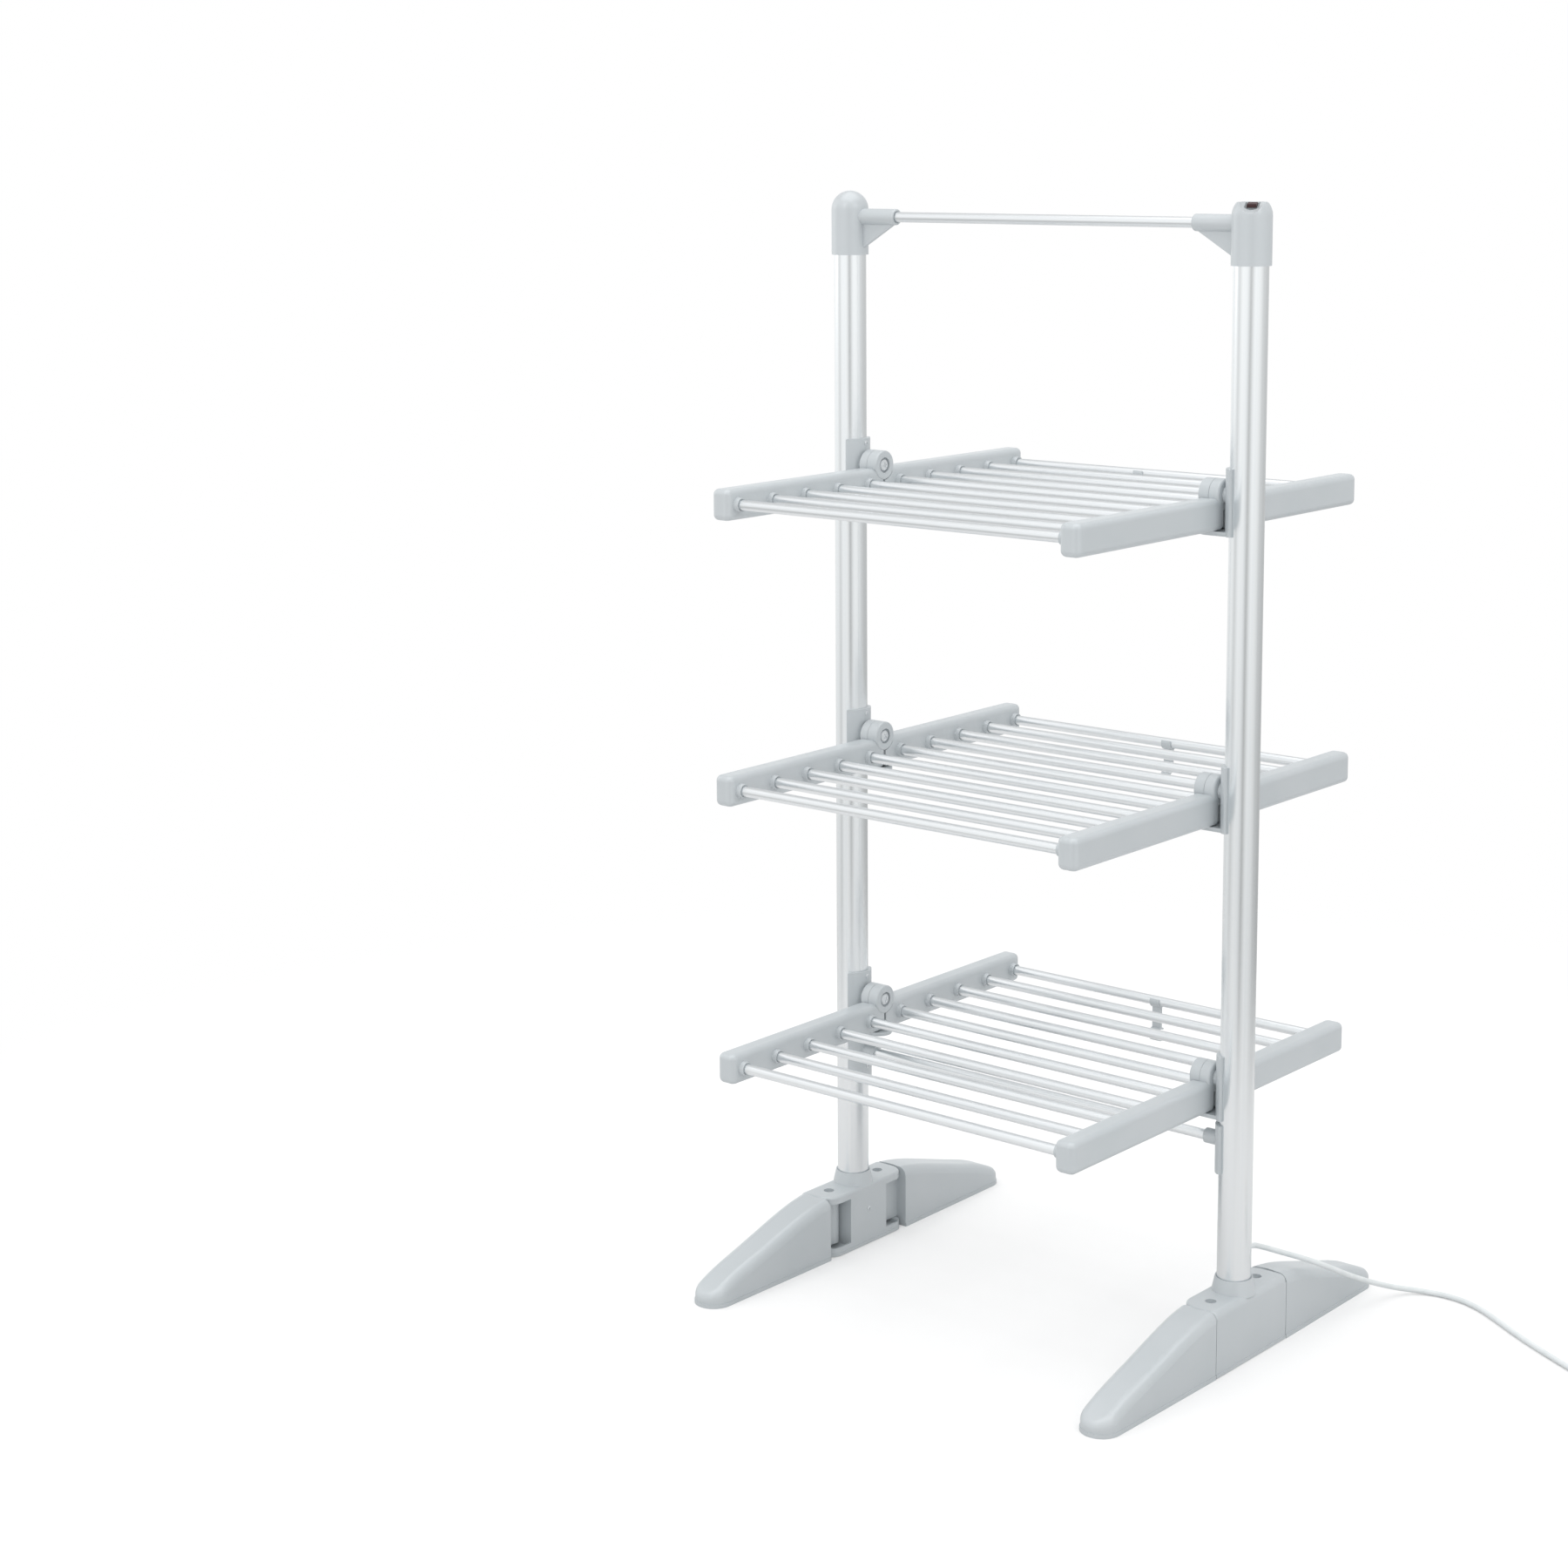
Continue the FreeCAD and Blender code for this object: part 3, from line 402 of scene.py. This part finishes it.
@dataclass
class SupplyLead:
    """The free lead and its coil, as one smooth curve.

    Attributes:
        palette: The finishes.
        radius: Radius of the lead in millimetres.
        coil_radius: Radius of the outer turn in millimetres.
        pitch: Distance between turns in millimetres.
        layer: Distance between the two layers in millimetres.
        turns_in: Turns that spiral inwards in the lower layer.
        turns_up: Share of a turn that climbs to the upper layer.
        turns_out: Turns that spiral outwards in the upper layer.
        points_per_turn: Control points in each turn.
        exit_run: Straight stretch after the coil in millimetres.
        length: Length of the lead in metres. Not used.
    """

    palette: Palette
    radius: float = 3.5
    coil_radius: float = 46.0
    pitch: float = 8.8
    layer: float = 8.4
    turns_in: float = 2.0
    turns_up: float = 0.5
    turns_out: float = 1.5
    points_per_turn: int = 16
    exit_run: float = 36.0
    length: float = 1.628

    def coil_points(self) -> list[Vector]:
        """Control points of the coil, starting on its first turn.

        Returns:
            Points in millimetres.
        """
        start = Vector(CORD_ROUTE[-1])
        heading = (start - Vector(CORD_ROUTE[-2])).normalized()
        side = Vector((-heading.y, heading.x, 0)).normalized()
        centre = start + heading * 2 * self.radius + side * self.coil_radius
        swing = math.atan2(-side.y, -side.x)
        total = self.turns_in + self.turns_up + self.turns_out
        # A spline of order 3 touches the middles of the control polygon's sides, so its corners lie wider.
        wider = 1 / math.cos(math.pi / self.points_per_turn)
        points = []
        for k in range(int(total * self.points_per_turn) + 1):
            turn = k / self.points_per_turn
            inward = min(turn, self.turns_in) - max(turn - self.turns_in - self.turns_up, 0.0)
            climb = min(max((turn - self.turns_in) / self.turns_up, 0.0), 1.0)
            reach = (self.coil_radius - self.pitch * inward) * wider
            angle = swing + 2 * math.pi * turn
            rise = self.layer * climb * climb * (3 - 2 * climb)
            points.append(centre + Vector((reach * math.cos(angle), reach * math.sin(angle), rise)))
        return points

    def build(self) -> bpy.types.Object:
        """Returns:
            The curve object.
        """
        coil = self.coil_points()
        way = [Vector(CORD_EXIT)] + [Vector(p) for p in CORD_ROUTE] + coil[1:-1]
        heading = (Vector(CORD_ROUTE[-1]) - Vector(CORD_ROUTE[-2])).normalized()
        flat = Vector((heading.x, heading.y, 0)).normalized()
        last = coil[-1]
        way += [last, last + flat * (self.exit_run * 0.5), last + flat * self.exit_run]
        data = bpy.data.curves.new("lead", "CURVE")
        data.dimensions = "3D"
        spline = data.splines.new("NURBS")
        spline.points.add(len(way) - 1)
        for point, place in zip(spline.points, way):
            point.co = (*(place * MM), 1.0)
        spline.order_u = 3
        spline.use_endpoint_u = True
        spline.resolution_u = 8
        data.bevel_depth = self.radius * MM
        data.bevel_resolution = 5
        data.use_fill_caps = True
        lead = bpy.data.objects.new("lead", data)
        bpy.context.scene.collection.objects.link(lead)
        self.palette.apply(lead, "white_pvc_sheath")
        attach(lead, "frame")
        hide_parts("power_cord", "cord_coil")
        log.info("lead: %d control points", len(way))
        return lead


@dataclass(frozen=True)
class ScrewSize:
    """Sizes of a round screw head with a cross recess, in millimetres.

    Attributes:
        radius: Radius of the head.
        edge: Height of the head's straight edge.
        crown: Rise of the head's crown.
        cross: Length of the cross.
        blade: Width of each arm of the cross.
        depth: Depth of the cross below the crown.
    """

    radius: float
    edge: float
    crown: float
    cross: float
    blade: float
    depth: float


@dataclass
class Fasteners:
    """The small cross-head screws that show on the frame.

    Attributes:
        palette: The finishes.
        plate_screw: Screws through the hinge plates, rail brackets and hubs.
        pin_screw: Screws that close the hinge pins.
        head_sides: Sides of a head's round edge.
        head_rings: Rings of faces in a head's crown.
        crisp_angle: Edges that bend more than this, in degrees, stay crisp.
        seed: Seed of the turn that each cross is left at.
        tree: The Geometry Nodes tree, once it is made.
    """

    palette: Palette
    plate_screw: ScrewSize = ScrewSize(radius=3.1, edge=0.7, crown=1.0, cross=3.8, blade=0.9, depth=1.1)
    pin_screw: ScrewSize = ScrewSize(radius=6.4, edge=0.3, crown=0.9, cross=7.6, blade=1.7, depth=1.0)
    head_sides: int = 40
    head_rings: int = 6
    crisp_angle: float = 25.0
    seed: int = 7
    tree: bpy.types.NodeTree | None = None

    def build(self) -> None:
        """Sets every screw."""
        self.tree = self._make_tree()
        axes = [tier.axis_z() for tier in Tier]
        upright_x = middle_of("right_upright").x
        rail_z = middle_of("lower_rail").z
        plates = []
        pins = []
        for side in (-1, 1):
            face = side * (upright_x - SADDLE_RADIUS)
            plates += [(face, 0.0, z + HINGE_SCREW_RISE, side) for z in axes]
            plates += [(face, 0.0, rail_z + rise, side) for rise in RAIL_SCREW_RISES]
            plates.append((side * HUB_FACE_X, 0.0, HUB_SCREW_Z, side))
            pins += [(side * PIN_HEAD_X, 0.0, z, side) for z in axes]
        self._set("plate_screws", plates, self.plate_screw)
        self._set("hinge_pin_screws", pins, self.pin_screw)

    def _set(self, name: str, places: Sequence[tuple[float, float, float, int]], size: ScrewSize) -> None:
        """Makes one set of screws as a plain mesh on the frame.

        Args:
            name: The piece's name.
            places: Position in millimetres and side of each screw. Each faces the middle of the airer.
            size: Sizes of the head.
        """
        mesh = bpy.data.meshes.new(name)
        mesh.from_pydata([tuple(v * MM for v in p[:3]) for p in places], [], [])
        facing = mesh.attributes.new("facing", "FLOAT_VECTOR", "POINT")
        for item, place in zip(facing.data, places):
            item.vector = (-place[3], 0.0, 0.0)
        piece = bpy.data.objects.new(name, mesh)
        bpy.context.scene.collection.objects.link(piece)
        modifier = piece.modifiers.new("screws", "NODES")
        modifier.node_group = self.tree
        settings = {
            "Head Radius": size.radius * MM, "Edge Height": size.edge * MM, "Crown": size.crown * MM,
            "Cross Length": size.cross * MM, "Blade Width": size.blade * MM, "Cross Depth": size.depth * MM,
            "Seed": self.seed, "Material": self.palette.material("zinc_plated_steel"),
        }
        for socket in self.tree.interface.items_tree:
            if socket.item_type == "SOCKET" and socket.name in settings:
                modifier[socket.identifier] = settings[socket.name]
        graph = bpy.context.evaluated_depsgraph_get()
        plain = bpy.data.meshes.new_from_object(piece.evaluated_get(graph))
        piece.modifiers.remove(modifier)
        piece.data = plain
        self.palette.apply(piece, "zinc_plated_steel")
        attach(piece, "frame")
        log.info("%s: %d screws, %d faces", name, len(places), len(plain.polygons))

    def _make_tree(self) -> bpy.types.NodeTree:
        """Builds the tree that models one head and sets a copy on each point.

        Returns:
            The node tree.
        """
        tree = bpy.data.node_groups.new("cross_screws", "GeometryNodeTree")
        tree.interface.new_socket("Geometry", in_out="INPUT", socket_type="NodeSocketGeometry")
        for name in ("Head Radius", "Edge Height", "Crown", "Cross Length", "Blade Width", "Cross Depth"):
            tree.interface.new_socket(name, in_out="INPUT", socket_type="NodeSocketFloat")
        tree.interface.new_socket("Seed", in_out="INPUT", socket_type="NodeSocketInt")
        tree.interface.new_socket("Material", in_out="INPUT", socket_type="NodeSocketMaterial")
        tree.interface.new_socket("Geometry", in_out="OUTPUT", socket_type="NodeSocketGeometry")
        given = add_node(tree, "NodeGroupInput").outputs
        head = self._head(tree, given)
        turn = add_node(tree, "FunctionNodeRandomValue", data_type="FLOAT")
        # Input 3 is the upper end of a random number. A cross looks the same after a quarter turn.
        turn.inputs[3].default_value = math.pi / 2
        tree.links.new(given["Seed"], turn.inputs["Seed"])
        twist = add_node(tree, "ShaderNodeCombineXYZ", {"Z": turn.outputs[1]})
        spun = add_node(tree, "FunctionNodeEulerToRotation", {"Euler": twist.outputs["Vector"]})
        facing = add_node(tree, "GeometryNodeInputNamedAttribute", data_type="FLOAT_VECTOR", name="facing")
        aim = add_node(tree, "FunctionNodeAlignRotationToVector", {
            "Rotation": spun.outputs["Rotation"], "Vector": facing.outputs["Attribute"]}, axis="Z")
        copies = add_node(tree, "GeometryNodeInstanceOnPoints", {
            "Points": given["Geometry"], "Instance": head, "Rotation": aim.outputs["Rotation"]})
        real = add_node(tree, "GeometryNodeRealizeInstances", {"Geometry": copies.outputs["Instances"]})
        dressed = add_node(tree, "GeometryNodeSetMaterial",
                           {"Geometry": real.outputs["Geometry"], "Material": given["Material"]})
        add_node(tree, "NodeGroupOutput", {"Geometry": dressed.outputs["Geometry"]})
        return tree

    def _head(self, tree: bpy.types.NodeTree, given: bpy.types.bpy_prop_collection) -> bpy.types.NodeSocket:
        """Adds the nodes of one head, which stands on the origin and faces up.

        Args:
            tree: The node tree.
            given: Outputs of the group's input node.

        Returns:
            The socket with the head's mesh.
        """
        half = maths(tree, "MULTIPLY", given["Edge Height"], 0.5)
        top = maths(tree, "ADD", half, given["Crown"])
        raised = add_node(tree, "ShaderNodeCombineXYZ", {"Z": top})
        deep = maths(tree, "MULTIPLY", given["Cross Depth"], 2.0)
        head = self._crowned_disc(tree, given)
        for first, second in (("Cross Length", "Blade Width"), ("Blade Width", "Cross Length")):
            size = add_node(tree, "ShaderNodeCombineXYZ", {"X": given[first], "Y": given[second], "Z": deep})
            cube = add_node(tree, "GeometryNodeMeshCube", {"Size": size.outputs["Vector"]})
            blade = add_node(tree, "GeometryNodeTransform", {
                "Geometry": cube.outputs["Mesh"], "Translation": raised.outputs["Vector"]})
            cut = add_node(tree, "GeometryNodeMeshBoolean", {
                "Mesh 1": head, "Mesh 2": blade.outputs["Geometry"]}, operation="DIFFERENCE", solver="EXACT")
            head = cut.outputs["Mesh"]
        stand = add_node(tree, "ShaderNodeCombineXYZ", {"Z": half})
        seated = add_node(tree, "GeometryNodeTransform", {
            "Geometry": head, "Translation": stand.outputs["Vector"]})
        return self._shaded(tree, seated.outputs["Geometry"])

    def _crowned_disc(self, tree: bpy.types.NodeTree,
                      given: bpy.types.bpy_prop_collection) -> bpy.types.NodeSocket:
        """Adds a disc round the origin whose top rises to a crown.

        Args:
            tree: The node tree.
            given: Outputs of the group's input node.

        Returns:
            The socket with the disc's mesh.
        """
        disc = add_node(tree, "GeometryNodeMeshCylinder", {
            "Radius": given["Head Radius"], "Depth": given["Edge Height"]}, fill_type="TRIANGLE_FAN",
            vertices=self.head_sides, fill_segments=self.head_rings)
        place = add_node(tree, "GeometryNodeInputPosition")
        parts = add_node(tree, "ShaderNodeSeparateXYZ", {"Vector": place.outputs["Position"]}).outputs
        flat = add_node(tree, "ShaderNodeCombineXYZ", {"X": parts["X"], "Y": parts["Y"]})
        reach = add_node(tree, "ShaderNodeVectorMath", {0: flat.outputs["Vector"]}, operation="LENGTH")
        share = maths(tree, "DIVIDE", reach.outputs["Value"], given["Head Radius"])
        fall = maths(tree, "SUBTRACT", 1.0, maths(tree, "MULTIPLY", share, share))
        lift = add_node(tree, "ShaderNodeCombineXYZ", {"Z": maths(tree, "MULTIPLY", fall, given["Crown"])})
        upper = add_node(tree, "FunctionNodeCompare", {0: parts["Z"]}, data_type="FLOAT",
                         operation="GREATER_THAN")
        domed = add_node(tree, "GeometryNodeSetPosition", {
            "Geometry": disc.outputs["Mesh"], "Selection": upper.outputs["Result"],
            "Offset": lift.outputs["Vector"]})
        return domed.outputs["Geometry"]

    def _shaded(self, tree: bpy.types.NodeTree, head: bpy.types.NodeSocket) -> bpy.types.NodeSocket:
        """Adds smooth shading that keeps the sharp bends crisp.

        Args:
            tree: The node tree.
            head: The socket with the head's mesh.

        Returns:
            The socket with the shaded mesh.
        """
        smooth = add_node(tree, "GeometryNodeSetShadeSmooth", {"Geometry": head}, domain="FACE")
        bend = add_node(tree, "GeometryNodeInputMeshEdgeAngle")
        gentle = add_node(tree, "FunctionNodeCompare", {0: bend.outputs["Unsigned Angle"]},
                          data_type="FLOAT", operation="LESS_THAN")
        gentle.inputs[1].default_value = math.radians(self.crisp_angle)
        crisp = add_node(tree, "GeometryNodeSetShadeSmooth", {
            "Geometry": smooth.outputs["Geometry"], "Shade Smooth": gentle.outputs["Result"]}, domain="EDGE")
        return crisp.outputs["Geometry"]


@dataclass(frozen=True)
class SoftBox:
    """One soft box of the studio.

    Attributes:
        name: The light's name.
        place: Position in metres.
        target: Point that it faces, in metres.
        size: Width and height in metres.
        level: Brightness of its face, where one is white.
    """

    name: str
    place: tuple[float, float, float]
    target: tuple[float, float, float]
    size: tuple[float, float]
    level: float

    def hang(self) -> None:
        """Adds the area light, which the camera doesn't see."""
        data = bpy.data.lights.new(self.name, "AREA")
        data.shape = "RECTANGLE"
        data.size, data.size_y = self.size
        data.energy = self.level * math.pi * self.size[0] * self.size[1]
        light = bpy.data.objects.new(self.name, data)
        bpy.context.scene.collection.objects.link(light)
        light.location = self.place
        aim = Vector(self.target) - Vector(self.place)
        light.rotation_euler = aim.to_track_quat("-Z", "Y").to_euler()
        light.visible_camera = False


@dataclass
class Studio:
    """Camera, light, floor and background.

    Attributes:
        place: Camera position in metres.
        yaw: Turn of the view to the left of +Y in degrees.
        pitch: Downward tilt in degrees.
        roll: Roll in degrees.
        sensor_mm: Width of the sensor in millimetres.
        image_px: Width of the image in pixels.
        focal_px: Focal length in pixels of that image.
        shift: Vertical shift of the sensor.
        floor_half: Half the width of the floor in metres.
        floor_tone: Share of light that the floor gives back.
        floor_lift: Light that the floor adds where the camera sees it, so that it nears white.
        floor_fade: Distances from the middle, in metres, over which the floor turns to the background.
        room: Level of the even light from all round.
        walls: Brightness of the walls that shiny surfaces show, by azimuth from +X, -180 to 180 degrees.
        wall_red: Share of red in the walls' tone.
        wall_foot: Rise of a direction, and the walls' share of brightness, at their foot and at eye level.
        wall_top: Rise of a direction where the walls begin and end to turn to the ceiling.
        ceiling: Y of a direction, and the ceiling's brightness, towards the front and over the middle.
        ceiling_tone: Colour of the ceiling.
        boxes: The soft boxes: two high ones beside the camera, a wide one at the left and one overhead.
    """

    place: tuple[float, float, float] = (2.152, -3.008, 1.500)
    yaw: float = 40.52
    pitch: float = 8.93
    roll: float = -0.4
    sensor_mm: float = 36.0
    image_px: float = 1800.0
    focal_px: float = 3415.0
    shift: float = -0.12
    floor_half: float = 4.0
    floor_tone: float = 0.66
    floor_lift: float = 0.30
    floor_fade: tuple[float, float] = (1.0, 2.0)
    room: float = 0.92
    walls: tuple[tuple[float, float], ...] = (
        (-180, 1.02), (-158, 1.02), (-146, 0.90), (-132, 0.74), (-121, 0.98), (-110, 1.04), (-88, 1.04),
        (-77, 1.0), (-66, 0.80), (-56, 0.48), (-47, 0.72), (-38, 0.96), (-30, 1.04), (-12, 1.04), (2, 0.98),
        (12, 0.92), (22, 0.82), (35, 0.70), (60, 0.62), (92, 0.60), (112, 0.82), (128, 0.98), (158, 1.0),
        (180, 1.02),
    )
    wall_red: float = 0.99
    wall_foot: tuple[tuple[float, float], ...] = ((-0.3, 0.68), (0.0, 1.1))
    wall_top: tuple[float, float] = (0.0, 0.5)
    ceiling: tuple[tuple[float, float], ...] = ((-0.45, 0.98), (0.0, 0.62))
    ceiling_tone: tuple[float, float, float, float] = (0.98, 0.99, 1.0, 1.0)
    boxes: tuple[SoftBox, ...] = (
        SoftBox("left key", (-0.26, -2.99, 3.0), (0.0, 0.0, 0.6), (0.7, 1.2), 2.4),
        SoftBox("right key", (2.91, -0.73, 3.0), (0.0, 0.0, 0.6), (0.7, 1.2), 2.4),
        SoftBox("left wall", (-2.85, -0.76, 2.0), (0.0, 0.0, 0.9), (1.6, 1.8), 0.5),
        SoftBox("overhead", (0.1, 0.2, 14.0), (0.1, 0.2, 0.0), (16.0, 16.0), 1.0),
    )

    def build(self) -> None:
        """Makes everything that isn't the object."""
        self._camera()
        self._floor()
        self._background()
        for box in self.boxes:
            box.hang()
        bpy.context.scene.view_settings.view_transform = "Standard"

    def _camera(self) -> None:
        """Sets the camera that matches the photograph."""
        data = bpy.data.cameras.new("camera")
        data.sensor_width = self.sensor_mm
        data.lens = self.focal_px * self.sensor_mm / self.image_px
        data.shift_y = self.shift
        camera = bpy.data.objects.new("camera", data)
        bpy.context.scene.collection.objects.link(camera)
        yaw, pitch, roll = (math.radians(v) for v in (self.yaw, self.pitch, self.roll))
        level = Vector((math.cos(yaw), math.sin(yaw), 0.0))
        ahead = Vector((-math.sin(yaw), math.cos(yaw), 0.0)) * math.cos(pitch)
        ahead.z = -math.sin(pitch)
        upward = level.cross(ahead)
        right = level * math.cos(roll) + upward * math.sin(roll)
        top = upward * math.cos(roll) - level * math.sin(roll)
        turn = Matrix((right, top, -ahead)).transposed()
        camera.matrix_world = Matrix.Translation(self.place) @ turn.to_4x4()
        bpy.context.scene.camera = camera

    def _floor(self) -> None:
        """Lays a pale floor that keeps soft shadows and fades into the background."""
        mesh = bpy.data.meshes.new("floor")
        half = self.floor_half
        mesh.from_pydata([(-half, -half, 0.0), (half, -half, 0.0), (half, half, 0.0), (-half, half, 0.0)],
                         [], [(0, 1, 2, 3)])
        floor = bpy.data.objects.new("floor", mesh)
        bpy.context.scene.collection.objects.link(floor)
        material = bpy.data.materials.new("floor")
        material.use_nodes = True
        tree = material.node_tree
        tree.nodes.clear()
        rays = add_node(tree, "ShaderNodeLightPath").outputs
        place = add_node(tree, "ShaderNodeTexCoord").outputs["Object"]
        paint = add_node(tree, "ShaderNodeBsdfDiffuse",
                         color=(self.floor_tone, self.floor_tone, self.floor_tone, 1.0))
        lift = maths(tree, "MULTIPLY", rays["Is Camera Ray"], self.floor_lift)
        glow = add_node(tree, "ShaderNodeEmission", {"Strength": lift}, color=WHITE)
        lit = add_node(tree, "ShaderNodeAddShader", {0: paint.outputs["BSDF"], 1: glow.outputs["Emission"]})
        white = add_node(tree, "ShaderNodeEmission", color=WHITE, strength=1.0)
        clear = add_node(tree, "ShaderNodeBsdfTransparent")
        rim = add_node(tree, "ShaderNodeMixShader", {
            0: rays["Is Camera Ray"], 1: clear.outputs["BSDF"], 2: white.outputs["Emission"]})
        reach = add_node(tree, "ShaderNodeVectorMath", {0: place}, operation="LENGTH")
        fade = add_node(tree, "ShaderNodeMapRange", {"Value": reach.outputs["Value"]},
                        from_min=self.floor_fade[0], from_max=self.floor_fade[1],
                        interpolation_type="SMOOTHSTEP")
        whole = add_node(tree, "ShaderNodeMixShader", {
            0: fade.outputs["Result"], 1: lit.outputs["Shader"], 2: rim.outputs["Shader"]})
        add_node(tree, "ShaderNodeOutputMaterial", {"Surface": whole.outputs["Shader"]})
        mesh.materials.append(material)

    def _background(self) -> None:
        """Makes a white background, the walls that shiny surfaces show, and an even room light."""
        world = bpy.data.worlds.new("studio")
        bpy.context.scene.world = world
        world.use_nodes = True
        tree = world.node_tree
        tree.nodes.clear()
        rays = add_node(tree, "ShaderNodeLightPath").outputs
        even = add_node(tree, "ShaderNodeBackground", color=WHITE, strength=self.room)
        white = add_node(tree, "ShaderNodeBackground", color=WHITE, strength=1.0)
        glossy = add_node(tree, "ShaderNodeMixShader", {
            0: rays["Is Glossy Ray"], 1: even.outputs["Background"], 2: self._shown_room(tree)})
        seen = maths(tree, "MAXIMUM", rays["Is Camera Ray"], rays["Is Transmission Ray"])
        whole = add_node(tree, "ShaderNodeMixShader", {
            0: seen, 1: glossy.outputs["Shader"], 2: white.outputs["Background"]})
        add_node(tree, "ShaderNodeOutputWorld", {"Surface": whole.outputs["Shader"]})

    def _shown_room(self, tree: bpy.types.NodeTree) -> bpy.types.NodeSocket:
        """Adds the soft bright and grey walls and the ceiling that shiny surfaces show.

        Args:
            tree: The world's nodes.

        Returns:
            The socket with their shader.
        """
        way = add_node(tree, "ShaderNodeTexCoord").outputs["Generated"]
        parts = add_node(tree, "ShaderNodeSeparateXYZ", {"Vector": way}).outputs
        bearing = maths(tree, "ARCTAN2", parts["Y"], parts["X"])
        turn = add_node(tree, "ShaderNodeMapRange", {"Value": bearing}, from_min=-math.pi, from_max=math.pi)
        ramp = add_node(tree, "ShaderNodeValToRGB", {"Fac": turn.outputs["Result"]})
        stops = ramp.color_ramp.elements
        for azimuth, _ in self.walls[1:-1]:
            stops.new((azimuth + 180) / 360)
        for stop, (_, level) in zip(stops, self.walls):
            stop.color = (level * self.wall_red, level, level, 1.0)
        (foot_rise, foot), (eye_rise, eye) = self.wall_foot
        strength = add_node(tree, "ShaderNodeMapRange", {"Value": parts["Z"]}, from_min=foot_rise,
                            from_max=eye_rise, to_min=foot, to_max=eye)
        walls = add_node(tree, "ShaderNodeBackground", {
            "Color": ramp.outputs["Color"], "Strength": strength.outputs["Result"]})
        (front_y, front), (middle_y, middle) = self.ceiling
        overhead = add_node(tree, "ShaderNodeMapRange", {"Value": parts["Y"]}, from_min=front_y,
                            from_max=middle_y, to_min=front, to_max=middle)
        ceiling = add_node(tree, "ShaderNodeBackground", {"Strength": overhead.outputs["Result"]},
                           color=self.ceiling_tone)
        rise = add_node(tree, "ShaderNodeMapRange", {"Value": parts["Z"]}, from_min=self.wall_top[0],
                        from_max=self.wall_top[1], interpolation_type="SMOOTHSTEP")
        room = add_node(tree, "ShaderNodeMixShader", {
            0: rise.outputs["Result"], 1: walls.outputs["Background"], 2: ceiling.outputs["Background"]})
        return room.outputs["Shader"]


def main() -> None:
    """Builds the scene."""
    logging.basicConfig(level=logging.INFO)
    palette = Palette()
    Studio().build()
    SupplyLead(palette).build()
    CadDressing(palette).build()
    Fasteners(palette).build()


if __name__ == "__main__":
    main()
